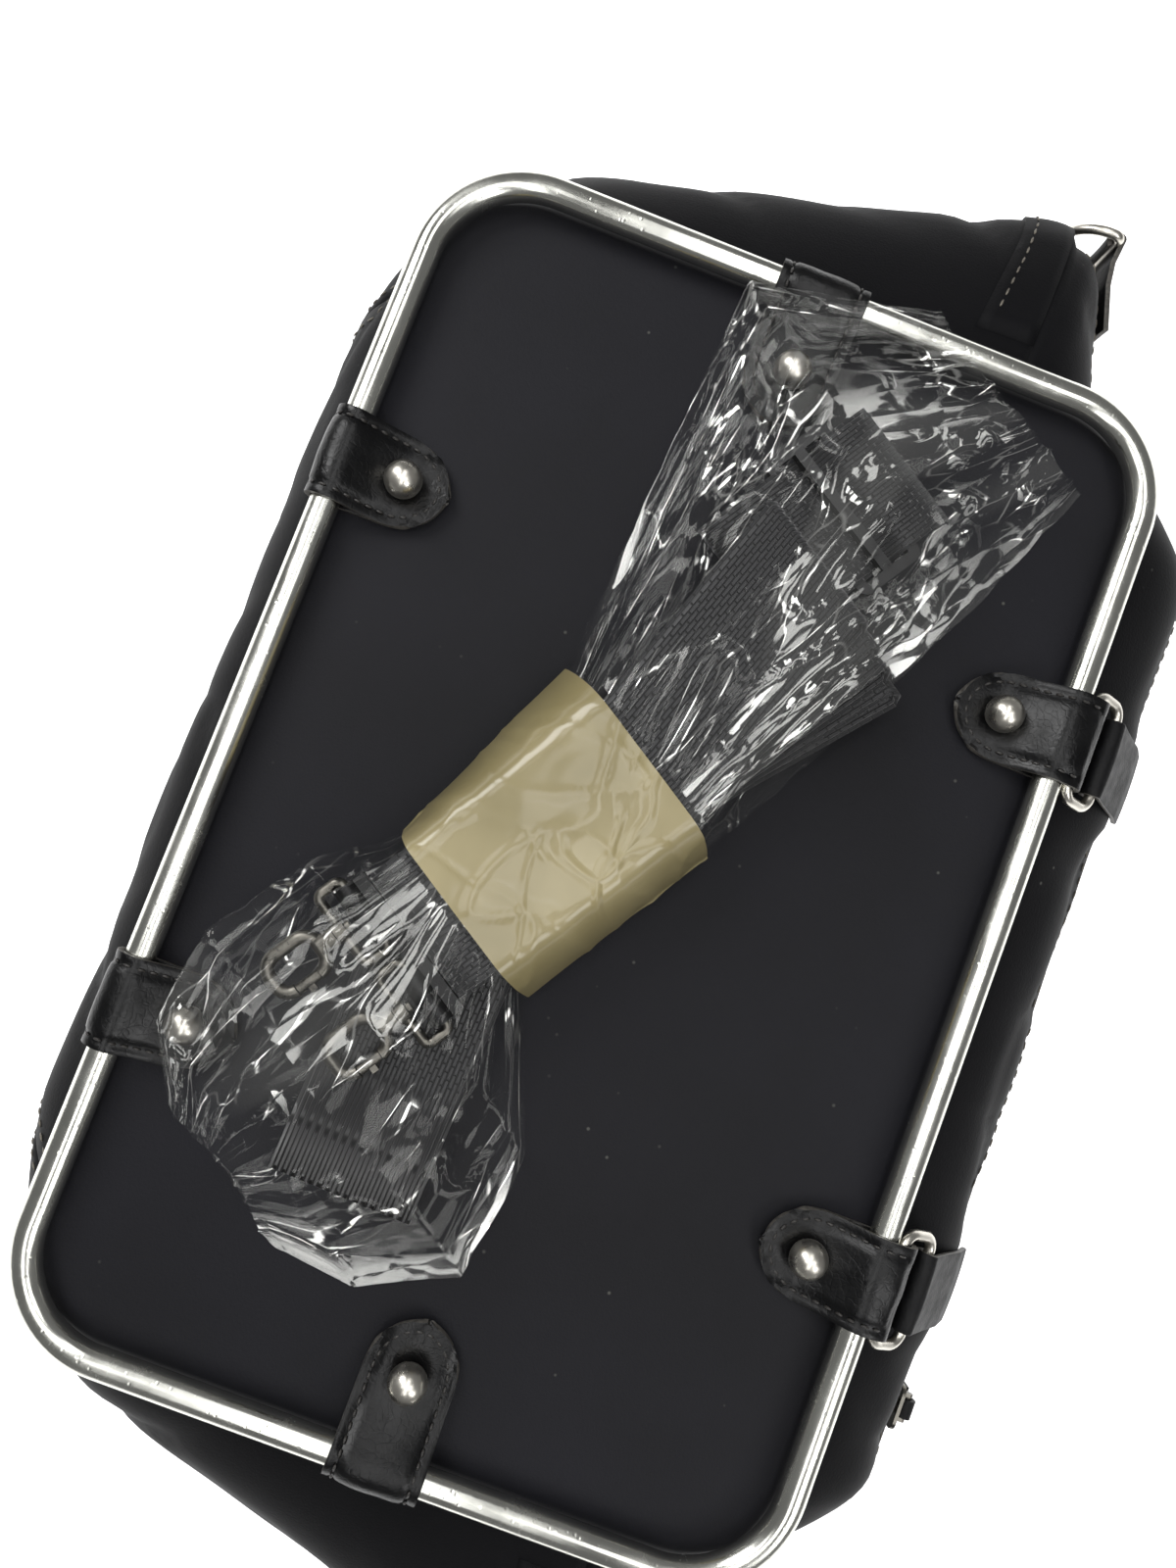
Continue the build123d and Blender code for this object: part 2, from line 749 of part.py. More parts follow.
with BuildPart() as strap_slide:
    with BuildSketch(Plane(packet_point(*slide_place), x_dir=packet_u, z_dir=(0, 0, 1))):
        RectangleRounded(slide_length, webbing_width + 2 * slide_rail, slide_rail)
        with GridLocations((slide_length - slide_rail) / 2, 0, 2, 1):
            Rectangle((slide_length - 3 * slide_rail) / 2, webbing_width, mode=Mode.SUBTRACT)
    extrude(amount=slide_rail)
save(strap_slide, "strap_slide")


end_tail = hook_start + bundle_near - turn_outer


def make_hook(name, v):
    """A swivel snap hook on a leather end, lying flat in the packet."""
    start = packet_point(-hook_start, v, hook_w)
    flat = Plane(start, x_dir=packet_u * -1, z_dir=(0, 0, 1))
    edge = Plane(start, x_dir=packet_u * -1, z_dir=packet_v)
    boss_start = eye_pitch - hook_wire
    boss_end = boss_start + boss_length
    claw_start = boss_end + swivel_gap + collar_length
    claw_middle = claw_start + claw_length / 2

    with BuildPart() as strap_end:
        with BuildSketch(edge):
            Circle(hook_wire + leather_gap + leather)
            with Locations((-end_tail / 2, 0)):
                Rectangle(end_tail, 2 * leather)
            Circle(hook_wire + leather_gap, mode=Mode.SUBTRACT)
        extrude(amount=eye_width / 2 - 2.5 * hook_wire, both=True)
    save(strap_end, f"{name}_strap_end")

    with BuildSketch(flat) as eye_line:
        with Locations((eye_pitch / 2, 0)):
            RectangleRounded(eye_pitch, eye_width - 2 * hook_wire, 1.3 * hook_wire)
    with BuildPart() as eye:
        sweep_round(eye_line.sketch.faces()[0].outer_wire(), hook_wire)
        with BuildSketch(Plane(flat.from_local_coords((boss_start, 0, 0)), z_dir=packet_u * -1)):
            Circle(2 * hook_wire)
        extrude(amount=boss_length)
        with BuildSketch(Plane(flat.from_local_coords((boss_start, 0, 0)), z_dir=packet_u * -1)):
            Circle(swivel_radius + post_gap)
        extrude(amount=2 * boss_length, both=True, mode=Mode.SUBTRACT)
    save(eye, f"{name}_hook_eye")

    with BuildSketch(flat) as claw_line:
        with Locations((claw_middle, 0)):
            RectangleRounded(claw_length - 2 * claw_wire, claw_width - 2 * claw_wire, claw_bend)
    with BuildPart() as hook:
        sweep_round(claw_line.sketch.faces()[0].outer_wire(), claw_wire)
        for radius, low, high in (
            (2 * hook_wire, boss_end + swivel_gap, claw_start + claw_wire),
            (swivel_radius, boss_start - 2 * swivel_gap, boss_end + claw_wire),
            (1.6 * swivel_radius, boss_start - swivel_gap - swivel_radius, boss_start - swivel_gap),
        ):
            with BuildSketch(Plane(flat.from_local_coords((low, 0, 0)), z_dir=packet_u * -1)):
                Circle(radius)
            extrude(amount=high - low)
        with BuildSketch(flat):
            with Locations((claw_middle, claw_width / 2 - claw_wire)):
                Rectangle(gate_length, 4 * claw_wire)
        extrude(amount=2 * claw_wire, both=True, mode=Mode.SUBTRACT)
    save(hook, f"{name}_hook_body")

    gate_start = claw_middle - gate_length / 2 + swivel_gap
    with BuildPart() as gate:
        with BuildSketch(
            Plane(flat.from_local_coords((gate_start, claw_width / 2 - claw_wire, 0)), z_dir=packet_u * -1)
        ):
            Circle(0.8 * claw_wire)
        extrude(amount=gate_length - 2 * swivel_gap)
        with BuildSketch(flat):
            with Locations((claw_middle, claw_width / 2 - claw_wire / 2)):
                Rectangle(claw_wire, 2 * claw_wire)
        extrude(amount=claw_wire / 2, both=True)
    save(gate, f"{name}_hook_gate")


hook_v = (eye_width + hook_side_gap) / 2
make_hook("base_side", hook_v)
make_hook("zip_side", -hook_v)
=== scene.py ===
import math

import bmesh
import bpy
from mathutils import Matrix, Vector, noise


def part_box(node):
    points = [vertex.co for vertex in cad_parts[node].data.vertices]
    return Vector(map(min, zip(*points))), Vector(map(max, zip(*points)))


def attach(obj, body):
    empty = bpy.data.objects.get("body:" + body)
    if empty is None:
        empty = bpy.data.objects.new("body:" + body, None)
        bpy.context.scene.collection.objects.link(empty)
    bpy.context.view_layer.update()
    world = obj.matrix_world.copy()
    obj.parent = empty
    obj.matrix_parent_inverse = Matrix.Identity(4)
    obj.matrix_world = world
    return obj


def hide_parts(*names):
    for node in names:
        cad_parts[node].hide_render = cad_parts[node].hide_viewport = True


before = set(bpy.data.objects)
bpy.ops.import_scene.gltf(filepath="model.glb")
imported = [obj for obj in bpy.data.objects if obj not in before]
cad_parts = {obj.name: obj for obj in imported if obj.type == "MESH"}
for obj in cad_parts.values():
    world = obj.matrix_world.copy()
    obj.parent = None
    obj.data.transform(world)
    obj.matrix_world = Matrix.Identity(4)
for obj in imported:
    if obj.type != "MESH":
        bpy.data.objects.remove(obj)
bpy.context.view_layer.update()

# ---------------------------------------------------------------- camera and room
# The bag lies on a pale table under two soft boxes and four strips. The camera hangs over its
# face with a short lens, turned so that the bag lies slantwise in the view.
BAG_MIDDLE = Vector((0, 0, 0.08))
CAMERA_OFFSET = Vector((0.00267, -0.01944, 0.31219))
CAMERA_TURN = (2.944, -2.660, 110.915)
TABLE_DROP = 0.0003
tube_low, tube_high = [Vector(corner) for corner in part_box("front_tube_frame")]
tube_middle = (tube_low + tube_high) / 2
frame_top = tube_middle.z

camera_data = bpy.data.cameras.new("overhead_camera")
camera_data.sensor_fit = "VERTICAL"
camera_data.sensor_height = 36.0
camera_data.lens = 27.05
camera_data.clip_start = 0.01
camera = bpy.data.objects.new("overhead_camera", camera_data)
bpy.context.scene.collection.objects.link(camera)
camera.location = tube_middle + CAMERA_OFFSET
camera.rotation_euler = [math.radians(turn) for turn in CAMERA_TURN]
bpy.context.scene.camera = camera
bpy.context.scene.view_settings.view_transform = "Standard"


def hex_colour(code):
    """An sRGB hex colour as the linear colour that shaders take."""
    parts = [int(code[i : i + 2], 16) / 255 for i in (1, 3, 5)]
    return [(p / 12.92 if p <= 0.04045 else ((p + 0.055) / 1.055) ** 2.4) for p in parts] + [1.0]


def outlet(source):
    """The socket to link from: a socket itself, or a node's first output."""
    return source.outputs[0] if isinstance(source, bpy.types.Node) else source


def join(tree, node, **links):
    """Links sources to a node's sockets by name."""
    for key, source in links.items():
        tree.links.new(outlet(source), node.inputs[key.replace("_", " ")])


def add_node(tree, kind, links=None, **settings):
    """Adds one node with its settings, sockets by name or number, and its links."""
    node = tree.nodes.new("ShaderNode" + kind)
    for key, value in settings.items():
        if hasattr(node, key):
            setattr(node, key, value)
    for key, value in (links or {}).items():
        if isinstance(value, (bpy.types.Node, bpy.types.NodeSocket)):
            tree.links.new(outlet(value), node.inputs[key])
        else:
            node.inputs[key].default_value = value
    return node


def new_material(name, **sockets):
    """A material with one Principled shader, its sockets set straight."""
    material = bpy.data.materials.new(name)
    material.use_nodes = True
    shader = material.node_tree.nodes["Principled BSDF"]
    for key, value in sockets.items():
        shader.inputs[key.replace("_", " ")].default_value = value
    return material, material.node_tree, shader


floor_mesh = bpy.data.meshes.new("table_top")
shape = bmesh.new()
bmesh.ops.create_grid(shape, x_segments=1, y_segments=1, size=6.0)
shape.to_mesh(floor_mesh)
shape.free()
floor = bpy.data.objects.new("table_top", floor_mesh)
bpy.context.scene.collection.objects.link(floor)
floor_mesh.transform(Matrix.Translation((0, 0, -TABLE_DROP)))
paint, tree, shader = new_material(
    "pale_table",
    Base_Color=hex_colour("#FAFAFA"),
    Roughness=0.9,
    Emission_Color=hex_colour("#FFFFFF"),
    Emission_Strength=0.8,
)
floor_mesh.materials.append(paint)

world = bpy.data.worlds.new("studio")
bpy.context.scene.world = world
world.use_nodes = True
world.node_tree.nodes["Background"].inputs["Color"].default_value = hex_colour("#FFFFFF")
world.node_tree.nodes["Background"].inputs["Strength"].default_value = 0.16


def soft_box(name, place, width, height, power):
    """A soft light of a width and height in metres and a power in watts, aimed at the bag."""
    light_data = bpy.data.lights.new(name, "AREA")
    light_data.shape = "RECTANGLE"
    light_data.size = width
    light_data.size_y = height
    light_data.energy = power
    light = bpy.data.objects.new(name, light_data)
    bpy.context.scene.collection.objects.link(light)
    light.location = place
    light.rotation_euler = (BAG_MIDDLE - Vector(place)).to_track_quat("-Z", "Y").to_euler()


soft_box("window_box", (-0.45, -0.75, 0.85), 0.4, 0.6, 7)
soft_box("fill_box", (0.5, 0.7, 0.9), 0.35, 0.5, 3)
soft_box("left_strip", (-0.36, 0.0, 1.0), 0.22, 0.8, 1.9)
soft_box("right_strip", (0.36, 0.0, 1.0), 0.22, 0.8, 1.9)
soft_box("zip_side_strip", (0.0, 0.38, 1.0), 0.42, 0.26, 1.2)
soft_box("base_side_strip", (0.0, -0.38, 1.0), 0.42, 0.26, 1.2)

# ---------------------------------------------------------------- tube frames
# Each frame is one length of 8 mm steel tube, bent to a rounded rectangle,
# welded shut and chromed. The tabs are all that holds it to the bag.
TUBE_RADIUS = 0.004
TUBE_BEND = 0.028
frame_length = tube_high.x - tube_low.x - 2 * TUBE_RADIUS
frame_width = tube_high.y - tube_low.y - 2 * TUBE_RADIUS
back_low, back_high = [Vector(corner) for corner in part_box("back_tube_frame")]
middle_z = (back_low.z + tube_high.z) / 2
frame_y = tube_middle.y


def finish_piece(name, shape, materials, body, replaces=(), smooth=True):
    """Makes a bmesh a piece of the object that rides on a body."""
    mesh = bpy.data.meshes.new(name)
    shape.to_mesh(mesh)
    shape.free()
    piece = bpy.data.objects.new(name, mesh)
    bpy.context.scene.collection.objects.link(piece)
    for material in materials:
        mesh.materials.append(material)
    for polygon in mesh.polygons:
        polygon.use_smooth = smooth
    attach(piece, body)
    if replaces:
        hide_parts(*replaces)
    return piece


def round_loop(shape, length, width, bend, radius, sides=28, steps=14):
    """A wire or tube bent to a closed rounded rectangle, flat about the origin."""
    ring = bmesh.ops.create_circle(shape, segments=sides, radius=radius)["verts"]
    turn = Matrix.Rotation(math.pi / 2, 4, "Y")
    bmesh.ops.transform(shape, matrix=Matrix.Translation((0, -width / 2, 0)) @ turn, verts=ring)
    edges = list({edge for vert in ring for edge in vert.link_edges})
    straights = (
        length / 2 - bend, width - 2 * bend, length - 2 * bend, width - 2 * bend, length / 2 - bend
    )
    heading = Vector((1, 0, 0))
    for number, straight in enumerate(straights):
        made = bmesh.ops.extrude_edge_only(shape, edges=edges)["geom"]
        moved = [item for item in made if isinstance(item, bmesh.types.BMVert)]
        edges = [item for item in made if isinstance(item, bmesh.types.BMEdge)]
        bmesh.ops.translate(shape, vec=heading * straight, verts=moved)
        if number == len(straights) - 1:
            break
        middle = sum((vert.co for vert in moved), Vector()) / len(moved)
        centre = middle + heading.cross(Vector((0, 0, -1))) * bend
        spun = bmesh.ops.spin(
            shape, geom=edges, cent=centre, axis=(0, 0, 1),
            angle=math.pi / 2, steps=steps, use_merge=False,
        )["geom_last"]
        edges = [item for item in spun if isinstance(item, bmesh.types.BMEdge)]
        heading = Matrix.Rotation(math.pi / 2, 3, "Z") @ heading
    bmesh.ops.remove_doubles(shape, verts=shape.verts, dist=radius / 500)
    bmesh.ops.recalc_face_normals(shape, faces=shape.faces)


# Chromed steel: a mirror with a faint warm cast, clouded by handling marks,
# with a scatter of fine pits that catch the light.
chrome, tree, shader = new_material("chromed_steel", Metallic=1.0, Base_Color=hex_colour("#DEDED6"))
place = add_node(tree, "TexCoord").outputs["Object"]
marks = add_node(tree, "TexNoise", {"Vector": place, "Scale": 55.0, "Detail": 6.0, "Roughness": 0.65})
haze = add_node(
    tree,
    "MapRange",
    {"Value": marks, "From Min": 0.35, "From Max": 0.75, "To Min": 0.14, "To Max": 0.32},
)
join(tree, shader, Roughness=haze)
pits = add_node(tree, "TexVoronoi", {"Vector": place, "Scale": 420.0})
pit_edge = add_node(tree, "MapRange", {"Value": pits, "From Min": 0.08, "From Max": 0.22})
dents = add_node(tree, "Bump", {"Height": pit_edge, "Strength": 0.25, "Distance": 0.0001})
waves = add_node(tree, "TexNoise", {"Vector": place, "Scale": 18.0, "Detail": 2.0})
waver = add_node(
    tree, "Bump", {"Height": waves, "Strength": 0.35, "Distance": 0.0006, "Normal": dents}
)
join(tree, shader, Normal=waver)

for side, height in (("front", frame_top), ("back", (back_low.z + back_high.z) / 2)):
    shape = bmesh.new()
    round_loop(shape, frame_length, frame_width, TUBE_BEND, TUBE_RADIUS, sides=40, steps=20)
    bmesh.ops.translate(shape, vec=(0, frame_y, height), verts=shape.verts)
    finish_piece(f"{side}_tube", shape, [chrome], "bag", [f"{side}_tube_frame"])

# ---------------------------------------------------------------- face panels
# Coated nylon stretched over a stiff board and turned in under the tube. It
# lies almost flat, with shallow dips away from its edge, and is tucked down along the edge.
cover_low, cover_high = [Vector(corner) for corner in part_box("front_cover")]
face_z = cover_high.z
COVER_THICKNESS = cover_high.z - cover_low.z
LOOP_RADIUS = frame_top - face_z
PANEL_SWELL = 0.0009
PANEL_TUCK = 0.0011
TUCK_REACH = 0.0035
mirror_back = Matrix.Translation((0, 0, 2 * middle_z)) @ Matrix.Scale(-1, 4, (0, 0, 1))

# Nylon twill with a matt backing coat: near black with a blue cast, a fine dry
# grain, and a few light specks of lint held by the weave. The twill's lines lie
# 0.3 mm apart, and show only as a break in the gloss.
nylon, tree, shader = new_material(
    "coated_nylon_twill",
    Roughness=0.62,
    Specular_IOR_Level=0.2,
    Sheen_Weight=0.12,
    Sheen_Roughness=0.45,
)
place = add_node(tree, "TexCoord").outputs["Object"]
cloud = add_node(tree, "TexNoise", {"Vector": place, "Scale": 14.0, "Detail": 4.0})
grain = add_node(tree, "TexNoise", {"Vector": place, "Scale": 1500.0, "Detail": 2.0})
lint = add_node(tree, "TexVoronoi", {"Vector": place, "Scale": 130.0, "Randomness": 1.0})
speck = add_node(
    tree,
    "MapRange",
    {"Value": lint, "From Min": 0.035, "From Max": 0.075, "To Min": 1.0, "To Max": 0.0},
)
thin = add_node(tree, "TexNoise", {"Vector": place, "Scale": 31.0})
few = add_node(tree, "MapRange", {"Value": thin, "From Min": 0.52, "From Max": 0.62})
lint_here = add_node(tree, "Math", {0: speck, 1: few}, operation="MULTIPLY")
dye = add_node(tree, "ValToRGB", {"Fac": cloud})
dye.color_ramp.elements[0].position = 0.3
dye.color_ramp.elements[0].color = hex_colour("#0E0E12")
dye.color_ramp.elements[1].position = 0.75
dye.color_ramp.elements[1].color = hex_colour("#15151B")
grey = add_node(
    tree, "Mix", {"Factor": lint_here, "A": dye, "B": hex_colour("#4E4E4A")}, data_type="RGBA"
)
join(tree, shader, Base_Color=grey.outputs["Result"])
twill = add_node(
    tree,
    "TexWave",
    {"Vector": place, "Scale": 1900.0, "Distortion": 0.6, "Detail": 1.0},
    bands_direction="DIAGONAL",
)
cloth = add_node(tree, "Bump", {"Height": twill, "Strength": 0.1, "Distance": 0.0002})
tooth = add_node(
    tree, "Bump", {"Height": grain, "Strength": 0.35, "Distance": 0.0002, "Normal": cloth}
)
join(tree, shader, Normal=tooth)

# The walls are the same nylon with painted shade: a copy whose dye is set darker,
# so they look a step darker than the stretched faces, with less gloss and sheen.
# Painted shade: this copy's colour ramp is darker than the faces' nylon.
shaded_wall_nylon = nylon.copy()
shaded_wall_nylon.name = "shade_painted_nylon_twill"
for node in shaded_wall_nylon.node_tree.nodes:
    if node.type == "VALTORGB":
        node.color_ramp.elements[0].color = hex_colour("#050507")
        node.color_ramp.elements[1].color = hex_colour("#09090C")
    if node.type == "BSDF_PRINCIPLED":
        node.inputs["Specular IOR Level"].default_value = 0.12
        node.inputs["Sheen Weight"].default_value = 0.04


def rounded_corner(x, y, half_x, half_y, bend):
    """Moves a point of a square-cornered sheet onto one with round corners."""
    a = max(0.0, (abs(x) - (half_x - bend)) / bend)
    b = max(0.0, (abs(y) - (half_y - bend)) / bend)
    if a > 0 and b > 0:
        x = math.copysign(half_x - bend + bend * a * math.sqrt(1 - b * b / 2), x)
        y = math.copysign(half_y - bend + bend * b * math.sqrt(1 - a * a / 2), y)
    return x, y


for side, sign in (("front", 1), ("back", -1)):
    shape = bmesh.new()
    bmesh.ops.create_grid(shape, x_segments=132, y_segments=84, size=0.5)
    for vert in shape.verts:
        flat_x, flat_y = vert.co.x * frame_length, vert.co.y * frame_width
        x, y = rounded_corner(flat_x, flat_y, frame_length / 2, frame_width / 2, TUBE_BEND)
        edge = min(frame_length / 2 - abs(flat_x), frame_width / 2 - abs(flat_y))
        swell = PANEL_SWELL * min(1.0, edge / 0.05) * noise.noise(Vector((x * 9, y * 9, sign * 3)))
        tuck = -PANEL_TUCK * max(0.0, 1 - edge / TUCK_REACH) ** 2
        vert.co = Vector((x, frame_y + y, face_z - 0.0001 + min(swell, 0.0) + tuck))
    bmesh.ops.solidify(shape, geom=shape.faces[:], thickness=COVER_THICKNESS * 0.8)
    if sign < 0:
        bmesh.ops.transform(shape, matrix=mirror_back, verts=shape.verts)
    bmesh.ops.recalc_face_normals(shape, faces=shape.faces)
    finish_piece(f"{side}_face_panel", shape, [nylon], "bag", [f"{side}_cover"])

# ---------------------------------------------------------------- leather tabs
# Smooth black calf straps, folded round the tube, glued double and stitched
# along their edges, with a pointed tongue that a ball stud pins to the face.
LEATHER = 0.0018
TAB_HALF = 0.0125
TONGUE_TAPER = 0.0155
STITCH_INSET = 0.0026
STITCH_PITCH = 0.0031
END_REACH, END_STUD = 0.0367, 0.0224
SIDE_REACH, SIDE_STUD = 0.0295, 0.0175
RING_ROOM = 0.0032
TOP_RUN = 0.008
TIP_RISE = 0.012
TAB_ROWS = 110
TIP_ROWS = 30
BALL_RADIUS = 0.0052
BALL_HEIGHT = 0.0050
PADDING = 0.0007
STUD_DIMPLE, DIMPLE_REACH = 0.0011, 0.0062
SEAM_GROOVE, GROOVE_REACH = 0.0007, 0.0009

# Glazed calf: deep black, a soft gloss broken by pores and by fine creases
# where the strap bends, a little grey where the surface is rubbed.
calf, tree, shader = new_material(
    "glazed_calf",
    Base_Color=hex_colour("#060607"),
    Specular_IOR_Level=0.26,
    Coat_Weight=0.07,
    Coat_Roughness=0.22,
)
place = add_node(tree, "TexCoord").outputs["Object"]
rub = add_node(tree, "TexNoise", {"Vector": place, "Scale": 120.0, "Detail": 5.0})
gloss = add_node(
    tree,
    "MapRange",
    {"Value": rub, "From Min": 0.3, "From Max": 0.75, "To Min": 0.26, "To Max": 0.46},
)
join(tree, shader, Roughness=gloss)
pore = add_node(tree, "TexVoronoi", {"Vector": place, "Scale": 950.0})
crease_place = add_node(tree, "TexNoise", {"Vector": place, "Scale": 60.0, "Detail": 3.0})
shifted = add_node(
    tree, "Mix", {"Factor": 0.02, "A": place, "B": crease_place.outputs[1]}, data_type="VECTOR"
)
crease = add_node(
    tree,
    "TexVoronoi",
    {"Vector": shifted.outputs["Result"], "Scale": 380.0},
    feature="DISTANCE_TO_EDGE",
)
line = add_node(tree, "MapRange", {"Value": crease, "From Min": 0.0, "From Max": 0.09})
fine = add_node(tree, "Bump", {"Height": pore, "Strength": 0.2, "Distance": 0.0002})
deep = add_node(
    tree, "Bump", {"Height": line, "Strength": 0.16, "Distance": 0.0002, "Normal": fine}
)
soft = add_node(tree, "Bump", {"Height": rub, "Strength": 0.22, "Distance": 0.0005, "Normal": deep})
join(tree, shader, Normal=soft)


def mottle(tree, shader, scale, dull, glossy, dark, light, relief):
    """Gives a finish uneven colour and gloss, and a fine relief, all at one scale."""
    place = add_node(tree, "TexCoord").outputs["Object"]
    spots = add_node(
        tree, "TexNoise", {"Vector": place, "Scale": scale, "Detail": 4.0, "Roughness": 0.6}
    )
    shine = add_node(
        tree,
        "MapRange",
        {"Value": spots, "From Min": 0.3, "From Max": 0.7, "To Min": glossy, "To Max": dull},
    )
    join(tree, shader, Roughness=shine)
    tint = add_node(tree, "ValToRGB", {"Fac": spots})
    tint.color_ramp.elements[0].position = 0.35
    tint.color_ramp.elements[0].color = hex_colour(dark)
    tint.color_ramp.elements[1].position = 0.65
    tint.color_ramp.elements[1].color = hex_colour(light)
    join(tree, shader, Base_Color=tint)
    bumps = add_node(tree, "Bump", {"Height": spots, "Strength": 0.5, "Distance": relief})
    join(tree, shader, Normal=bumps)


# The cut edge of the leather, inked and burnished: greyer and rougher.
inked_edge, tree, shader = new_material("inked_edge")
mottle(tree, shader, 900.0, 0.65, 0.4, "#3A3835", "#5A5752", 0.00012)

# Waxed dark grey polyester thread: small hard glints on each stitch.
thread, tree, shader = new_material("waxed_thread", Base_Color=hex_colour("#343230"), Roughness=0.42)
place = add_node(tree, "TexCoord").outputs["Object"]
lay = add_node(tree, "TexWave", {"Vector": place, "Scale": 900.0, "Distortion": 2.0})
twist = add_node(tree, "Bump", {"Height": lay, "Strength": 0.5, "Distance": 0.0001})
join(tree, shader, Normal=twist)

# Nickel-plated brass, polished and a little warm.
nickel, tree, shader = new_material("polished_nickel", Metallic=1.0, Base_Color=hex_colour("#D8D4CA"))
place = add_node(tree, "TexCoord").outputs["Object"]
smudge = add_node(tree, "TexNoise", {"Vector": place, "Scale": 260.0, "Detail": 4.0})
sheen = add_node(
    tree, "MapRange", {"Value": smudge, "From Min": 0.3, "From Max": 0.8, "To Min": 0.24, "To Max": 0.4}
)
join(tree, shader, Roughness=sheen)
scuff = add_node(tree, "Bump", {"Height": smudge, "Strength": 0.15, "Distance": 0.0002})
join(tree, shader, Normal=scuff)


def smooth_step(low, high, value):
    share = min(1.0, max(0.0, (value - low) / (high - low)))
    return share * share * (3 - 2 * share)


def strap_line(reach, ring_room):
    """The strap's middle line in the tab's own plane, from the tip back to the underlayer's end."""
    top = -LOOP_RADIUS + 1.5 * LEATHER
    under = -LOOP_RADIUS + 0.5 * LEATHER
    round_radius = LOOP_RADIUS - LEATHER / 2
    line = [Vector((u, top)) for u in (reach, reach - 0.003, reach - 0.006, 0.0225)]
    bend = (Vector((0.0215, top)), Vector((0.0140, top + 0.0003)), Vector((0.0065, 0.0018)))
    for step in range(13):
        line.append(bend[0].lerp(bend[1], step / 12).lerp(bend[1].lerp(bend[2], step / 12), step / 12))
    for degrees in range(62, 181, 9):
        turn = math.radians(degrees)
        spot = Vector((math.cos(turn), math.sin(turn))) * round_radius
        line.append(spot + Vector((-ring_room * smooth_step(80, 150, degrees), 0)))
    for degrees in range(189, 271, 9):
        turn = math.radians(degrees)
        spot = Vector((math.cos(turn), math.sin(turn))) * round_radius
        line.append(spot + Vector((-ring_room * (1 - smooth_step(205, 265, degrees)), 0)))
    line += [Vector((u, under)) for u in (0.006, 0.012, reach - 0.009)]
    return line


def run_length(line):
    return sum((b - a).length for a, b in zip(line, line[1:]))


def walk(line, share):
    """The point at a share of a line's length, and its direction there."""
    lengths = [(b - a).length for a, b in zip(line, line[1:])]
    left = share * sum(lengths)
    for a, b, length in zip(line, line[1:], lengths):
        if left <= length or b is line[-1]:
            return a.lerp(b, left / length), (b - a).normalized()
        left -= length


def half_width(from_tip):
    """Half the tab's width at a distance from its tip."""
    if from_tip >= TONGUE_TAPER:
        return TAB_HALF
    left = 1 - from_tip / TONGUE_TAPER
    return TAB_HALF * math.sqrt(max(0.0, 1 - left**2.1))


def stitch(shape, at, along, up, length=0.0025, thickness=0.0009):
    """One stitch: a short rounded bar lying on the leather, its ends dipping in."""
    side = along.cross(up)
    basis = Matrix((along, side, up)).transposed().to_4x4()
    sizes = Matrix.Diagonal((length, thickness, thickness * 0.8, 1))
    bmesh.ops.create_icosphere(
        shape, subdivisions=1, radius=0.5, matrix=Matrix.Translation(at) @ basis @ sizes
    )


def move_new(shape, place):
    """Moves what was added to a shape since it was last moved."""
    made = [vert for vert in shape.verts if not vert.tag]
    bmesh.ops.transform(shape, matrix=place, verts=made)
    for vert in made:
        vert.tag = True


def tip_lift(from_tip):
    """How far the tab's tip curls up off the face."""
    return 0.0006 * max(0.0, 1 - from_tip / TIP_RISE)


def cut_leather(strap, thickness, rounding):
    """Gives a strap its thickness, with inked sides and rounded edges."""
    solid = strap.modifiers.new("leather", "SOLIDIFY")
    solid.thickness = thickness
    solid.offset = 0.0
    solid.material_offset_rim = 1
    edge = strap.modifiers.new("rounded_edge", "BEVEL")
    edge.width = rounding
    edge.segments = 2
    edge.limit_method = "ANGLE"
    edge.angle_limit = math.radians(50)


def tab_basis(x, y):
    """Turns the tab's own plane (inward, along the tube, up) to its place on the tube."""
    if abs(y) < 0.01:
        inward = Vector((-math.copysign(1, x), 0, 0))
    else:
        inward = Vector((0, -math.copysign(1, y), 0))
    up = Vector((0, 0, 1))
    basis = Matrix((inward, up.cross(inward), up)).transposed().to_4x4()
    return Matrix.Translation((x, frame_y + y, frame_top)) @ basis


TABS = {}
for name in ("far", "near", "base_far", "base_near", "zip_far", "zip_near"):
    low, high = [Vector(corner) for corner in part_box(f"front_{name}_tab")]
    if name in ("far", "near"):
        x, y = math.copysign(frame_length / 2, low.x), 0.0
        reach, stud_reach = END_REACH, END_STUD
    else:
        x, y = (low.x + high.x) / 2, math.copysign(frame_width / 2, low.y - frame_y)
        reach, stud_reach = SIDE_REACH, SIDE_STUD
    TABS[name] = (x, y, reach, stud_reach, RING_ROOM if name.startswith("zip") else 0.0)

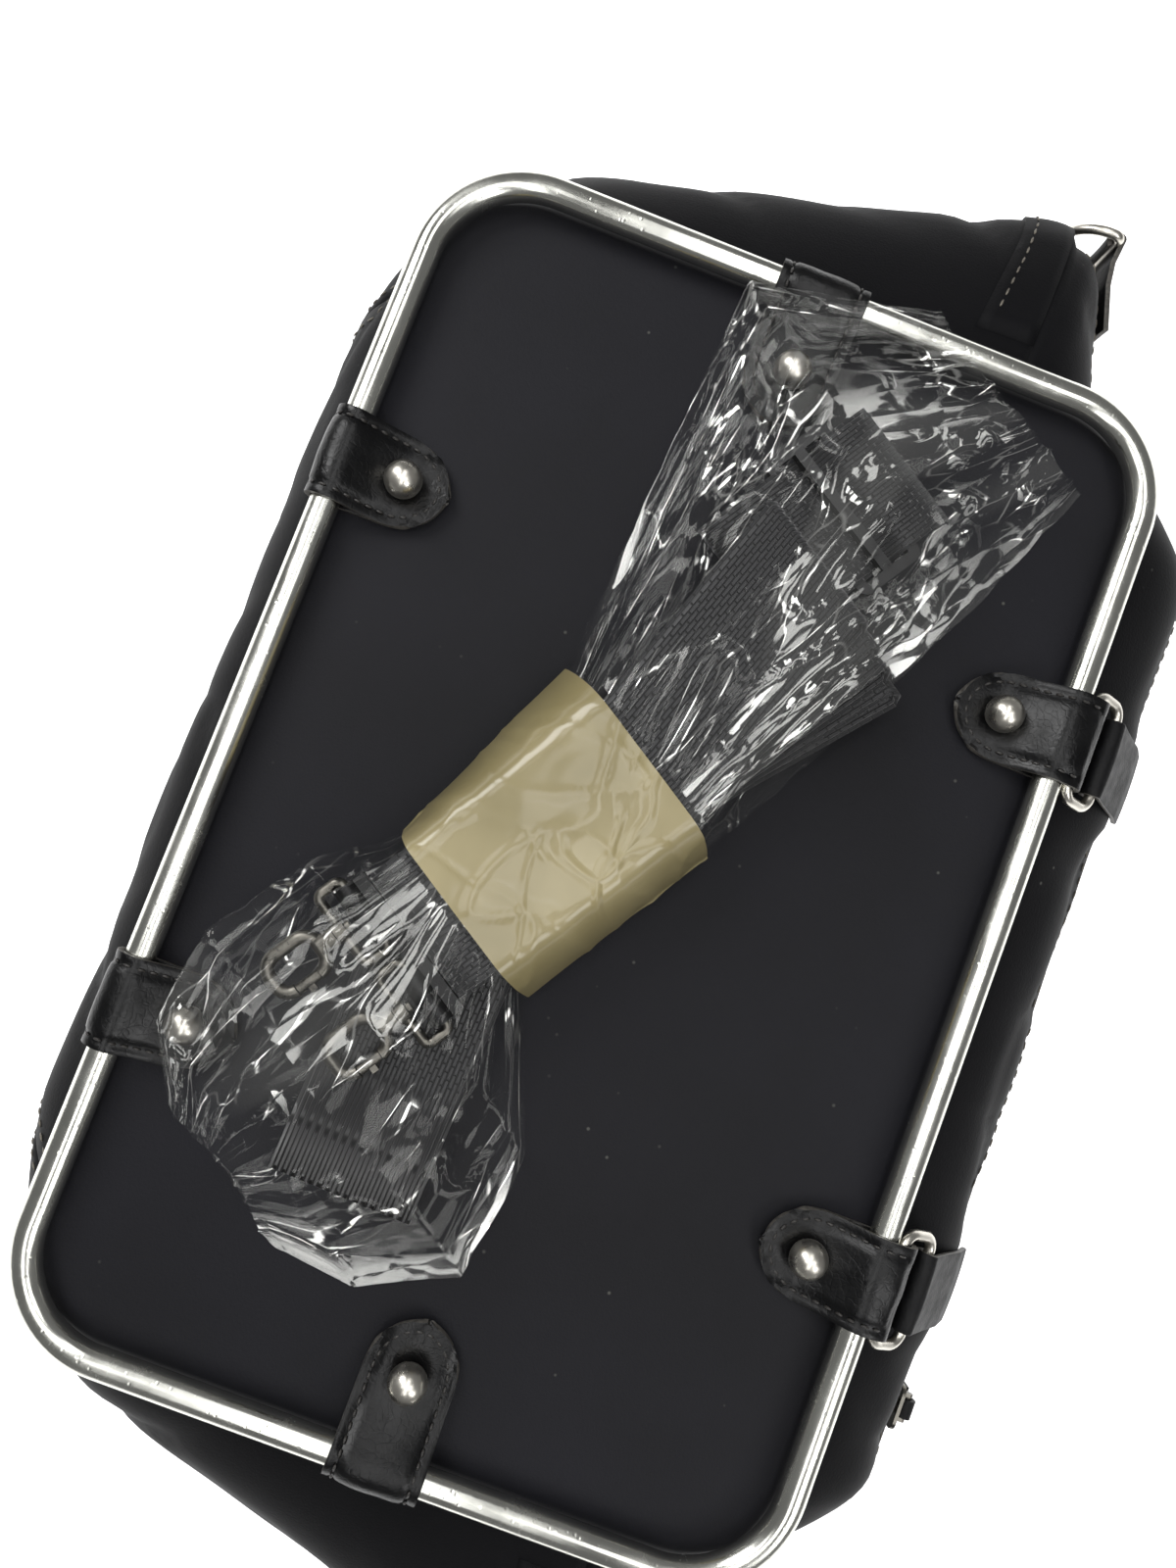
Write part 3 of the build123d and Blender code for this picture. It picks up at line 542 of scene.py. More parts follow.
for side in ("front", "back"):
    for number, (name, (x, y, reach, stud_reach, ring_room)) in enumerate(TABS.items()):
        line = strap_line(reach, ring_room)
        length = run_length(line)
        shape = bmesh.new()
        bmesh.ops.create_grid(shape, x_segments=TAB_ROWS, y_segments=18, size=0.5)
        for vert in shape.verts:
            row, across = round((vert.co.x + 0.5) * TAB_ROWS), vert.co.y * 2
            tongue = TONGUE_TAPER / length
            if row < TIP_ROWS:
                share = tongue * (1 - math.cos(math.pi / 2 * (row + 0.6) / TIP_ROWS))
            else:
                share = tongue + (1 - tongue) * (row - TIP_ROWS) / (TAB_ROWS - TIP_ROWS)
            spot, heading = walk(line, share)
            from_tip = share * length
            half = half_width(from_tip)
            if from_tip > length / 2 and spot.x > 0:
                half = min(half, half_width(reach - spot.x) - 0.0004)
            out = Vector((heading.y, -heading.x))
            relief = 0.00025 * noise.noise(Vector((spot.x * 160, across * 2.2, number * 7.1)))
            if from_tip < reach + TOP_RUN:
                from_stud = math.hypot(spot.x - stud_reach, across * half)
                from_seam = TAB_HALF - abs(across * half) - STITCH_INSET
                relief += PADDING * (1 - across * across) * smooth_step(0.0, TIP_RISE, from_tip)
                relief -= STUD_DIMPLE * math.exp(-((from_stud / DIMPLE_REACH) ** 2))
                relief -= SEAM_GROOVE * math.exp(-((from_seam / GROOVE_REACH) ** 2))
            spot = spot + out * relief
            spot.y += tip_lift(from_tip)
            vert.co = Vector((spot.x, across * half, spot.y))
        bmesh.ops.remove_doubles(shape, verts=shape.verts, dist=0.00003)
        bmesh.ops.recalc_face_normals(shape, faces=shape.faces)
        top_face = max(shape.faces, key=lambda face: face.calc_center_median().z)
        if top_face.normal.z < 0:
            bmesh.ops.reverse_faces(shape, faces=shape.faces)
        bmesh.ops.transform(shape, matrix=tab_basis(x, y), verts=shape.verts)
        if side == "back":
            bmesh.ops.transform(shape, matrix=mirror_back, verts=shape.verts)
            bmesh.ops.reverse_faces(shape, faces=shape.faces)
            for vert in shape.verts:
                vert.co.z = max(vert.co.z, LEATHER / 2 + 0.00002)
        tab = finish_piece(
            f"{side}_{name}_strap", shape, [calf, inked_edge], "bag",
            [f"{side}_{name}_tab"],
        )
        cut_leather(tab, LEATHER * 0.94, 0.0004)

    # Stitching round every tab, one short bar for each stitch.
    shape = bmesh.new()
    for name, (x, y, reach, stud_reach, ring_room) in TABS.items():
        line = strap_line(reach, ring_room)
        length = run_length(line)
        outline = []
        for step in range(61):
            from_tip = STITCH_INSET + (TONGUE_TAPER - STITCH_INSET) * (step / 60) ** 1.6
            left = (from_tip - STITCH_INSET) / (TONGUE_TAPER - STITCH_INSET)
            outline.append(
                Vector((from_tip, (TAB_HALF - STITCH_INSET) * math.sqrt(1 - (1 - left) ** 2.1)))
            )
        outline.append(Vector((reach + 0.0075, TAB_HALF - STITCH_INSET)))
        count = int(run_length(outline) / STITCH_PITCH)
        for half in (-1, 1):
            for step in range(count):
                spot, heading = walk(outline, (step + 0.5) / count)
                where, slope = walk(line, spot.x / length)
                out = Vector((slope.y, 0, -slope.x))
                at = Vector((where.x, half * spot.y, where.y)) + out * (LEATHER * 0.52 - 0.0001)
                at.z += tip_lift(spot.x)
                along = Vector((slope.x, 0, slope.y)) * heading.x + Vector((0, half, 0)) * heading.y
                stitch(shape, at, along.normalized(), out)
        move_new(shape, tab_basis(x, y))
    if side == "back":
        bmesh.ops.transform(shape, matrix=mirror_back, verts=shape.verts)
    bmesh.ops.recalc_face_normals(shape, faces=shape.faces)
    finish_piece(f"{side}_tab_stitching", shape, [thread], "bag")

    # Ball studs: a turned ball on a short waist, screwed through tab and board.
    shape = bmesh.new()
    for x, y, reach, stud_reach, ring_room in TABS.values():
        profile = [(0.0029, 0.0), (0.0031, 0.0005), (0.0028, 0.0009)]
        for degrees in range(-52, 91, 8):
            turn = math.radians(min(degrees, 90))
            profile.append((BALL_RADIUS * math.cos(turn), BALL_HEIGHT + BALL_RADIUS * math.sin(turn)))
        profile.append((0.0, BALL_HEIGHT + BALL_RADIUS))
        verts = [shape.verts.new((radius, 0, height)) for radius, height in profile]
        edges = [shape.edges.new(pair) for pair in zip(verts, verts[1:])]
        bmesh.ops.spin(
            shape, geom=verts + edges, cent=(0, 0, 0), axis=(0, 0, 1),
            angle=2 * math.pi, steps=36, use_merge=True,
        )
        seat = Matrix.Translation((stud_reach, 0, -LOOP_RADIUS + 2 * LEATHER - 0.0009))
        move_new(shape, tab_basis(x, y) @ seat)
    bmesh.ops.remove_doubles(shape, verts=shape.verts, dist=0.00001)
    if side == "back":
        bmesh.ops.transform(shape, matrix=mirror_back, verts=shape.verts)
    bmesh.ops.recalc_face_normals(shape, faces=shape.faces)
    finish_piece(f"{side}_ball_studs", shape, [nickel], "bag", [f"{side}_studs"])

# ---------------------------------------------------------------- folded shoulder strap
# The strap is 38 mm ribbed polyester webbing, folded to and fro into a flat
# bundle of eight layers. The upper layers have slipped and fan out a little.
PACKET_ANGLE = math.radians(32)
packet_u = Vector((-math.cos(PACKET_ANGLE), math.sin(PACKET_ANGLE), 0))
packet_v = Vector((0, 0, 1)).cross(packet_u)
packet_origin = Vector((-0.001, frame_y - 0.016, face_z + 0.001))
to_packet = Matrix((packet_u, packet_v, Vector((0, 0, 1)))).transposed().to_4x4()
to_packet.translation = packet_origin
WEBBING_HALF = 0.019
WEBBING_THICKNESS = 0.0015
LAYER_PITCH = 0.0024
LAYERS = 8
STRAP_COLUMNS = 12
STRAY_REACH = 0.054
BUNDLE_NEAR = -0.041
BUNDLE_FAR = 0.094
BUNDLE_BASE = 0.0088 + WEBBING_THICKNESS / 2


def unwrap(shape, sheet_uv):
    """Keeps where each point lay on the flat sheet, in metres, as its UV."""
    layer = shape.loops.layers.uv.new("flat")
    for face in shape.faces:
        for loop in face.loops:
            loop[layer].uv = sheet_uv[loop.vert]


# Black polyester webbing: short offset ribs across the band, dry, with 1.2 mm from
# rib to rib. The rib crowns are painted lighter as a painted sheen, and the grooves between them darker
# as painted shade.
webbing, tree, shader = new_material(
    "black_webbing", Base_Color=hex_colour("#101012"), Roughness=0.5, Sheen_Weight=0.2
)
flat = add_node(tree, "UVMap", uv_map="flat")
ribs = add_node(
    tree,
    "TexBrick",
    {
        "Vector": flat,
        "Scale": 1.0,
        "Mortar Size": 0.00028,
        "Mortar Smooth": 1.0,
        "Brick Width": 0.0036,
        "Row Height": 0.0012,
    },
)
lift = add_node(
    tree, "Bump", {"Height": ribs.outputs["Fac"], "Strength": 0.8, "Distance": 0.0005}, invert=True
)
join(tree, shader, Normal=lift)
# Painted sheen and shade: lighter colour on the rib crowns, darker colour in the grooves.
painted_rib_shade = add_node(
    tree,
    "Mix",
    {"Factor": ribs.outputs["Fac"], "A": hex_colour("#1B1B1D"), "B": hex_colour("#060607")},
    data_type="RGBA",
)
join(tree, shader, Base_Color=painted_rib_shade.outputs["Result"])

route = []
for layer in range(LAYERS):
    w = BUNDLE_BASE + layer * LAYER_PITCH
    outward = layer % 2 == 0
    run = [BUNDLE_NEAR + (BUNDLE_FAR - BUNDLE_NEAR) * step / 24 for step in range(25)]
    for u in run if outward else run[::-1]:
        route.append((u, w, layer))
    if layer < LAYERS - 1:
        end, side = (BUNDLE_FAR, 1) if outward else (BUNDLE_NEAR, -1)
        for step in range(1, 8):
            turn = math.pi * step / 8 - math.pi / 2
            u = end + side * LAYER_PITCH / 2 * math.cos(turn)
            route.append((u, w + LAYER_PITCH / 2 * (1 + math.sin(turn)), layer + step / 8))


def travelled(line):
    """How far along a line each of its places lies."""
    runs = [0.0]
    for a, b in zip(line, line[1:]):
        runs.append(runs[-1] + math.dist(a[:2], b[:2]))
    return runs


shape = bmesh.new()
bmesh.ops.create_grid(shape, x_segments=len(route) - 1, y_segments=STRAP_COLUMNS, size=0.5)
sheet_uv = {}
runs = travelled(route)
for vert in shape.verts:
    step = round((vert.co.x + 0.5) * (len(route) - 1))
    u, w, layer = route[step]
    v = vert.co.y * 2 * WEBBING_HALF
    sheet_uv[vert] = (runs[step], v)
    slip = math.radians(3.0 * (layer - 2.6)) if u > 0 else math.radians(0.8 * math.sin(layer * 2))
    aside = max(0.0, abs(u) - 0.03) * math.tan(slip)
    sag = 0.0006 * noise.noise(Vector((u * 40, v * 40, layer * 0.7)))
    vert.co = Vector((u, v + aside, w + sag))

# One fold has slipped out of the bundle's near end and lies askew.
stray_turn = Matrix.Translation((-0.024, 0.002, 0.0129)) @ Matrix.Rotation(math.radians(210), 4, "Z")
stray_line = [(STRAY_REACH * step / 14, 0.0) for step in range(15)]
for step in range(1, 6):
    turn = math.pi * step / 6
    stray_line.append((0.0525 + 0.0007 * math.sin(turn), 0.0007 * (1 - math.cos(turn))))
stray_line += [(STRAY_REACH * step / 14, 0.0014) for step in range(14, -1, -1)]


def add_strip(shape, line, place):
    """Adds a strip of webbing to the bundle, along a line of distances and heights."""
    last = len(line) - 1
    runs = travelled(line)
    grid = bmesh.ops.create_grid(shape, x_segments=last, y_segments=STRAP_COLUMNS, size=0.5)
    for vert in grid["verts"]:
        step = round((vert.co.x + 0.5) * last)
        along, height = line[step]
        v = vert.co.y * 2 * WEBBING_HALF
        sheet_uv[vert] = (runs[step], v)
        vert.co = place @ Vector((along, v, height))


add_strip(shape, stray_line, stray_turn)

# The strap's free end leaves the bundle between two layers and is threaded
# through the slide: over its rails and under its middle bar.
threaded = [
    (-0.034, 0.0018),
    (-0.024, 0.0019),
    (-0.013, 0.0020),
    (-0.0095, 0.0023),
    (-0.0070, 0.0018),
    (-0.0054, 0.0004),
]
threaded += [(-0.0036, -0.0012), (-0.0018, -0.0022), (0.0, -0.0024)]
threaded += [(-along, height) for along, height in threaded[-2:2:-1]]
threaded += [(0.015, 0.0022), (0.021, 0.0012)]
SLIDE_PLACE = (0.112, 0.022, 0.0161)
FREE_END_WIDTH = 0.96
narrowed = Matrix.Diagonal((1, FREE_END_WIDTH, 1, 1))
add_strip(shape, threaded, Matrix.Translation(SLIDE_PLACE) @ narrowed)
unwrap(shape, sheet_uv)
bmesh.ops.solidify(shape, geom=shape.faces[:], thickness=WEBBING_THICKNESS * 0.8)
bmesh.ops.transform(shape, matrix=to_packet, verts=shape.verts)
bmesh.ops.recalc_face_normals(shape, faces=shape.faces)
finish_piece("folded_webbing", shape, [webbing], "strap_packet", ["shoulder_strap"])


def finish_nodes(material, *names):
    """Gives pieces kept from the frame their finish."""
    for name in names:
        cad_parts[name].data.materials.clear()
        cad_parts[name].data.materials.append(material)


# The strap's slide, the two snap hooks and their leather ends. The hooks are
# nickel plated like the studs, but given a darker and rougher grey than the studs.
dull_nickel, tree, shader = new_material("dull_nickel", Metallic=1.0)
mottle(tree, shader, 350.0, 0.42, 0.22, "#55534E", "#74716A", 0.00005)
for side in ("base_side", "zip_side"):
    finish_nodes(dull_nickel, f"{side}_hook_eye", f"{side}_hook_body", f"{side}_hook_gate")
    finish_nodes(calf, f"{side}_strap_end")
# The slide is die-cast zinc, painted black.
black_metal, tree, shader = new_material("painted_zinc")
mottle(tree, shader, 300.0, 0.45, 0.26, "#09090A", "#131314", 0.00005)
finish_nodes(black_metal, "strap_slide")

# ---------------------------------------------------------------- clear film round the strap
# Thin cellophane, wrapped once round the bundle and pinched at the waist by
# the tape. Its two ends flare open, stiff and crumpled. Each row below is one
# place along the packet, with the film's two sides, its underside and its top.
FILM_LINE = (
    (-0.116, -0.040, 0.005, 0.0140, 0.0160),
    (-0.107, -0.060, 0.022, 0.0135, 0.0190),
    (-0.084, -0.074, 0.033, 0.0130, 0.0270),
    (-0.055, -0.062, 0.033, 0.0008, 0.0290),
    (-0.031, -0.0295, 0.0235, 0.0008, 0.0300),
    (0.031, -0.0285, 0.0325, 0.0008, 0.0300),
    (0.085, -0.024, 0.062, 0.0060, 0.0300),
    (0.130, -0.018, 0.085, 0.0140, 0.0240),
    (0.166, -0.012, 0.048, 0.0145, 0.0175),
)


def film_across(u):
    """The film's two sides, underside and top at a place along the packet."""
    for low, high in zip(FILM_LINE, FILM_LINE[1:]):
        if u <= high[0] or high is FILM_LINE[-1]:
            share = min(1.0, max(0.0, (u - low[0]) / (high[0] - low[0])))
            return [a + (b - a) * share for a, b in zip(low[1:], high[1:])]


def wrap_point(u, around):
    """A point on the wrapping: over the top from one side to the other, and back underneath."""
    v_low, v_high, w_low, w_high = film_across(u)
    over = around < 0.5
    across = math.cos(around * 2 * math.pi) if over else -math.cos((around - 0.5) * 2 * math.pi)
    v = (v_low + v_high) / 2 - across * (v_high - v_low) / 2
    edge = v_high if v > 0 else -v_low
    shoulder = min(0.017, edge * 0.75)
    slope = min(1.0, max(0.0, (abs(v) - shoulder) / (edge - shoulder)))
    rim = w_low + 0.12 * (w_high - w_low) + 0.0006
    if over:
        full = 2.2 - 1.3 * smooth_step(0.03, 0.07, abs(u))
        w = rim + (w_high - rim) * (1 - slope**full) * (1 - 0.06 * (v / edge) ** 2)
    else:
        w = w_low + (rim - w_low) * max(0.0, 1 - (1 - abs(across)) * 6) ** 2
    return v, w, over, (v - (v_low + v_high) / 2) / ((v_high - v_low) / 2)


def ridge(x, y, z, power):
    """Noise folded into sharp crests, the way a stiff thin sheet creases."""
    return (1 - min(1.0, abs(noise.noise(Vector((x, y, z)))) * 2.2)) ** power


def close_wrapping(shape, sheet_uv, name, material, replaced):
    """Joins a wrapping's seam and puts it round the packet."""
    bmesh.ops.remove_doubles(shape, verts=shape.verts, dist=0.000005)
    unwrap(shape, sheet_uv)
    bmesh.ops.transform(shape, matrix=to_packet, verts=shape.verts)
    bmesh.ops.recalc_face_normals(shape, faces=shape.faces)
    finish_piece(name, shape, [material], "strap_packet", [replaced])


# Cellophane: almost all of the light goes straight through. What it throws back
# is mirror bright, and sharp creases turn milky where the film is strained.
film, tree, shader = new_material(
    "clear_cellophane", Base_Color=hex_colour("#F2F2EE"), Metallic=0.9, Roughness=0.09
)
flat = add_node(tree, "UVMap", uv_map="flat")
stretch = add_node(tree, "Mapping", {"Vector": flat, "Scale": (0.5, 2.0, 1.0)})
bend = add_node(tree, "TexNoise", {"Vector": stretch, "Scale": 16.0, "Detail": 3.0})
bent = add_node(
    tree, "Mix", {"Factor": 0.045, "A": stretch, "B": bend.outputs[1]}, data_type="VECTOR"
).outputs["Result"]
big = add_node(
    tree,
    "TexVoronoi",
    {"Vector": bent, "Scale": 42.0},
    feature="DISTANCE_TO_EDGE",
    voronoi_dimensions="2D",
)
small = add_node(
    tree,
    "TexVoronoi",
    {"Vector": bent, "Scale": 120.0},
    feature="DISTANCE_TO_EDGE",
    voronoi_dimensions="2D",
)
facet = add_node(tree, "TexVoronoi", {"Vector": bent, "Scale": 65.0}, voronoi_dimensions="2D")
where = add_node(tree, "TexNoise", {"Vector": flat, "Scale": 34.0, "Detail": 2.0})
there = add_node(tree, "TexNoise", {"Vector": bent, "Scale": 70.0, "Detail": 2.0})
big_line = add_node(
    tree, "MapRange", {"Value": big, "From Min": 0.004, "From Max": 0.016, "To Min": 1.0, "To Max": 0.0}
)
big_here = add_node(tree, "MapRange", {"Value": where, "From Min": 0.5, "From Max": 0.62})
small_line = add_node(
    tree,
    "MapRange",
    {"Value": small, "From Min": 0.008, "From Max": 0.06, "To Min": 1.0, "To Max": 0.0},
)
small_here = add_node(tree, "MapRange", {"Value": there, "From Min": 0.54, "From Max": 0.66})
crease_big = add_node(tree, "Math", {0: big_line, 1: big_here}, operation="MULTIPLY")
crease_small = add_node(tree, "Math", {0: small_line, 1: small_here}, operation="MULTIPLY")
creases = add_node(tree, "Math", {0: crease_big, 1: crease_small}, operation="MAXIMUM")
calm = add_node(tree, "TexNoise", {"Vector": stretch, "Scale": 11.0})
pane = add_node(tree, "TexNoise", {"Vector": bent, "Scale": 24.0, "Detail": 1.0})
glare = add_node(
    tree,
    "MapRange",
    {"Value": pane, "From Min": 0.56, "From Max": 0.66, "To Min": 0.02, "To Max": 0.16},
)
milky = add_node(tree, "MapRange", {"Value": creases, "To Max": 0.75})
body = add_node(tree, "Math", {0: glare, 1: milky}, operation="MAXIMUM")
crisp = add_node(
    tree, "MapRange", {"Value": calm, "From Min": 0.46, "From Max": 0.64, "To Min": 0.04, "To Max": 0.7}
)
crumple = add_node(tree, "Bump", {"Height": facet, "Strength": crisp, "Distance": 0.004})
fold = add_node(
    tree, "Bump", {"Height": big, "Strength": 0.35, "Distance": 0.005, "Normal": crumple}
)
join(tree, shader, Normal=fold)
clear = add_node(tree, "BsdfTransparent", {"Color": hex_colour("#FFFFFF")})
both = add_node(tree, "MixShader", {0: body, 1: clear, 2: shader})
join(tree, tree.nodes["Material Output"], Surface=both)

WAIST = 0.031
shape = bmesh.new()
bmesh.ops.create_grid(shape, x_segments=300, y_segments=150, size=0.5)
sheet_uv = {}
for vert in shape.verts:
    share, around = vert.co.x + 0.5, (vert.co.y + 0.5) % 1.0
    u = FILM_LINE[0][0] + (FILM_LINE[-1][0] - FILM_LINE[0][0]) * share
    v, w, over, fan = wrap_point(u, around)
    sheet_uv[vert] = (u, fan * 0.045 + (0.0 if over else 0.3))
    flare = smooth_step(WAIST, 0.075, abs(u))
    pleat = ridge(u * 14, fan * 5.5, 1.5 if over else 8.5, 3) * (1 - 0.6 * flare)
    crease = ridge(u * 30 + fan * 1.5, fan * 3.4, 4.2 if over else 6.4, 5) * flare
    crumple = ridge(u * 75, v * 75, 2.7, 4) * smooth_step(0.085, 0.11, abs(u))
    lift = 0.0016 * pleat + 0.0024 * crease + 0.0014 * crumple - 0.0016
    lift *= smooth_step(0.0, 0.12, 1 - abs(fan)) * (0.35 if abs(u) < WAIST else 1.0)
    ragged = 0.0016 * noise.noise(Vector((u * 55, fan * 3, 0.4))) if abs(fan) > 0.9 else 0.0
    if share in (0.0, 1.0):
        u += 0.003 * noise.noise(Vector((v * 70, 3.3, 0.0)))
    vert.co = Vector(
        (u, v + math.copysign(ragged, fan), max(w + (lift if over else -lift * 0.2), 0.0004))
    )
close_wrapping(shape, sheet_uv, "clear_wrapping", film, "film_envelope")

# ---------------------------------------------------------------- tape round the waist
# One turn of 60 mm beige packing tape, glossy, puckered by the pleats under it.
tape, tree, shader = new_material("beige_tape", Roughness=0.36, Coat_Weight=0.45, Coat_Roughness=0.09)
flat = add_node(tree, "UVMap", uv_map="flat")
patch = add_node(tree, "TexNoise", {"Vector": flat, "Scale": 26.0, "Detail": 3.0})
stain = add_node(tree, "ValToRGB", {"Fac": patch})
stain.color_ramp.elements[0].position = 0.32
stain.color_ramp.elements[0].color = hex_colour("#81764F")
stain.color_ramp.elements[1].position = 0.68
stain.color_ramp.elements[1].color = hex_colour("#9C9069")
join(tree, shader, Base_Color=stain)
warp = add_node(tree, "TexNoise", {"Vector": flat, "Scale": 22.0, "Detail": 2.0})
bent = add_node(
    tree, "Mix", {"Factor": 0.06, "A": flat, "B": warp.outputs[1]}, data_type="VECTOR"
).outputs["Result"]
pucker = add_node(
    tree,
    "TexVoronoi",
    {"Vector": bent, "Scale": 34.0},
    feature="DISTANCE_TO_EDGE",
    voronoi_dimensions="2D",
)
crest = add_node(
    tree,
    "MapRange",
    {"Value": pucker, "From Min": 0.0, "From Max": 0.08, "To Min": 1.0, "To Max": 0.0},
    interpolation_type="SMOOTHSTEP",
)
pucker_here = add_node(tree, "MapRange", {"Value": patch, "From Min": 0.46, "From Max": 0.58})
puckers = add_node(tree, "Math", {0: crest, 1: pucker_here}, operation="MULTIPLY")
ripple = add_node(tree, "TexNoise", {"Vector": bent, "Scale": 70.0, "Detail": 1.0})
wide = add_node(tree, "Bump", {"Height": puckers, "Strength": 0.5, "Distance": 0.0008})
fine = add_node(tree, "Bump", {"Height": ripple, "Strength": 0.3, "Distance": 0.0012, "Normal": wide})
join(tree, shader, Normal=fine)
join(tree, shader, Coat_Normal=fine)

TAPE_WIDTH = 0.060
shape = bmesh.new()
bmesh.ops.create_grid(shape, x_segments=90, y_segments=150, size=0.5)
sheet_uv = {}
for vert in shape.verts:
    u, around = vert.co.x * TAPE_WIDTH, (vert.co.y + 0.5) % 1.0
    v, w, over, fan = wrap_point(u, around)
    sheet_uv[vert] = (u, fan * 0.03 + (0.0 if over else 0.2))
    pleat = ridge(u * 26, v * 70, 1.5 if over else 8.5, 6)
    crossing = ridge(u * 50 + v * 26, v * 40, 5.1, 8)
    lift = 0.0008 + 0.0005 * pleat + 0.0004 * crossing
    outward = Vector((0, fan * abs(fan) ** 3, (1 if over else -1) * (1 - abs(fan) ** 6)))
    place = Vector((u, v, w)) + outward.normalized() * lift
    vert.co = Vector((place.x, place.y, max(place.z, 0.00015)))
close_wrapping(shape, sheet_uv, "waist_tape", tape, "tape_band")

# ---------------------------------------------------------------- gusset panels
# Unlined nylon walls join the two framed faces. They are cut full, so they
# belly out between the frames and fall in soft folds. The two zip ends run out
# to points, each closed by a turned and stitched hem.
half_length = frame_length / 2
half_frame = frame_width / 2
GUSSET_HALF = face_z - COVER_THICKNESS - middle_z
TOP_BULGE = 0.034
ZIP_BAND = 0.008
CHAIN_HALF = 0.0026
CHAIN_SLOT = 0.0006
corner_x = half_length - TUBE_BEND
corner_y = half_frame - TUBE_BEND
corner_cut = TUBE_BEND * (1 - math.sqrt(0.5))
bend_x = half_length - 0.007
ear_x = half_length + 0.064
ear_y = half_frame - 0.034
EAR_HALF = 0.008
RING_PLACES = (-0.0755, 0.078)

# Places round one end of the bag, at the face and where the bag is fullest.
OUTLINE = (
    ((0, -half_frame), (0, -half_frame - 0.017), 30),
    ((corner_x, -half_frame), (corner_x - 0.017, -half_frame - 0.017), 9),
    ((half_length - corner_cut, corner_cut - half_frame), (bend_x, corner_cut - half_frame - 0.012), 9),
    ((half_length, -corner_y), (half_length + 0.019, -corner_y - 0.008), 34),
    ((half_length, ear_y - 0.020), (ear_x, ear_y - EAR_HALF), 3),
    (None, None, 3),
    ((half_length, ear_y - 0.004), (ear_x, ear_y + EAR_HALF), 15),
    ((half_length, corner_y), (half_length + 0.007, half_frame - 0.009), 8),
    ((half_length - corner_cut, half_frame - corner_cut), (bend_x, half_frame + 0.014), 8),
    ((corner_x, half_frame), (corner_x + 0.003, half_frame + TOP_BULGE), 34),
    ((0, half_frame), (0, half_frame + TOP_BULGE), 0),
)
HEM_Y = ear_y - 0.006
HEIGHTS = (1.0, 0.97, 0.93, 0.88, 0.82, 0.75, 0.68, 0.61, 0.54, 0.47, 0.40, 0.34, 0.29)
HEIGHTS += (
    ZIP_BAND / GUSSET_HALF, 0.20, 0.15, 0.11, CHAIN_HALF / GUSSET_HALF, 0.05, CHAIN_SLOT / GUSSET_HALF
)
HEIGHTS += tuple(-height for height in reversed(HEIGHTS))


def outline_at(fullness):
    """One end's outline at one height, near side, from the base's middle to the top's."""
    knots = []
    for face, full, steps in OUTLINE:
        if face is None:
            knots.append(None)
            continue
        knots.append(Vector(face).lerp(Vector(full), fullness))
    below, above = knots[4], knots[6]
    knots[5] = below.lerp(above, (HEM_Y - below.y) / (above.y - below.y))
    line = []
    for (face, full, steps), start, end in zip(OUTLINE, knots, knots[1:]):
        line += [start.lerp(end, step / steps) for step in range(steps)]
    return line + [knots[-1]]


def soften(line, rounds):
    """Rounds a line's corners, leaving its two ends."""
    for turn in range(rounds):
        between = [(a + 2 * b + c) / 4 for a, b, c in zip(line, line[1:], line[2:])]
        line = [line[0], *between, line[-1]]
    return line


STARTS = [0]
for face, full, steps in OUTLINE:
    STARTS.append(STARTS[-1] + steps)
HEM_COLUMN = STARTS[5]
BEND_COLUMN = STARTS[1]
LAST_COLUMN = STARTS[10]

rows = []
for height in HEIGHTS:
    fullness = 1 - 0.98 * abs(height) ** 3
    near = soften(outline_at(fullness), 7)
    rows.append(
        [Vector((point.x, frame_y + point.y, middle_z + height * GUSSET_HALF)) for point in near]
    )


def fall(point, column, height, side):
    """How far the cloth hangs in from its fullest, in loose folds."""
    x, y, z = point
    loose = max(0.0, 1 - height * height) ** 0.8
    calm = smooth_step(0.1, 0.4, abs(height)) if column > HEM_COLUMN else 1.0
    if column > HEM_COLUMN:
        calm *= smooth_step(0.012, 0.022, min(abs(side * x - place) for place in RING_PLACES))
    broad = 0.5 + 0.5 * noise.noise(Vector((side * x * 17, y * 17, height * 0.9)))
    folds = ridge(side * x * 12 + y * 9, y * 15 - side * x * 5, height * 1.1 + side, 4)
    lines = ridge(side * x * 34, y * 30, height * 1.6 + 4, 3)
    depth = (0.0034 * broad + 0.0028 * folds + 0.0010 * lines) * loose * (0.15 + 0.85 * calm)
    return depth - (0.0042 * loose if column <= HEM_COLUMN else 0.0)


def wall_point(side, column, row, proud=0.0):
    """A point on the outside of the bag's wall, standing proud by a distance."""
    line = rows[row]
    before, after = line[max(column - 1, 0)], line[min(column + 1, LAST_COLUMN)]
    along = (after - before).normalized()
    out = Vector((along.y, -along.x, 0))
    point = line[column] + out * (proud - fall(line[column], column, HEIGHTS[row], side))
    return Vector((side * point.x, point.y, point.z)), Vector((side * out.x, out.y, 0))


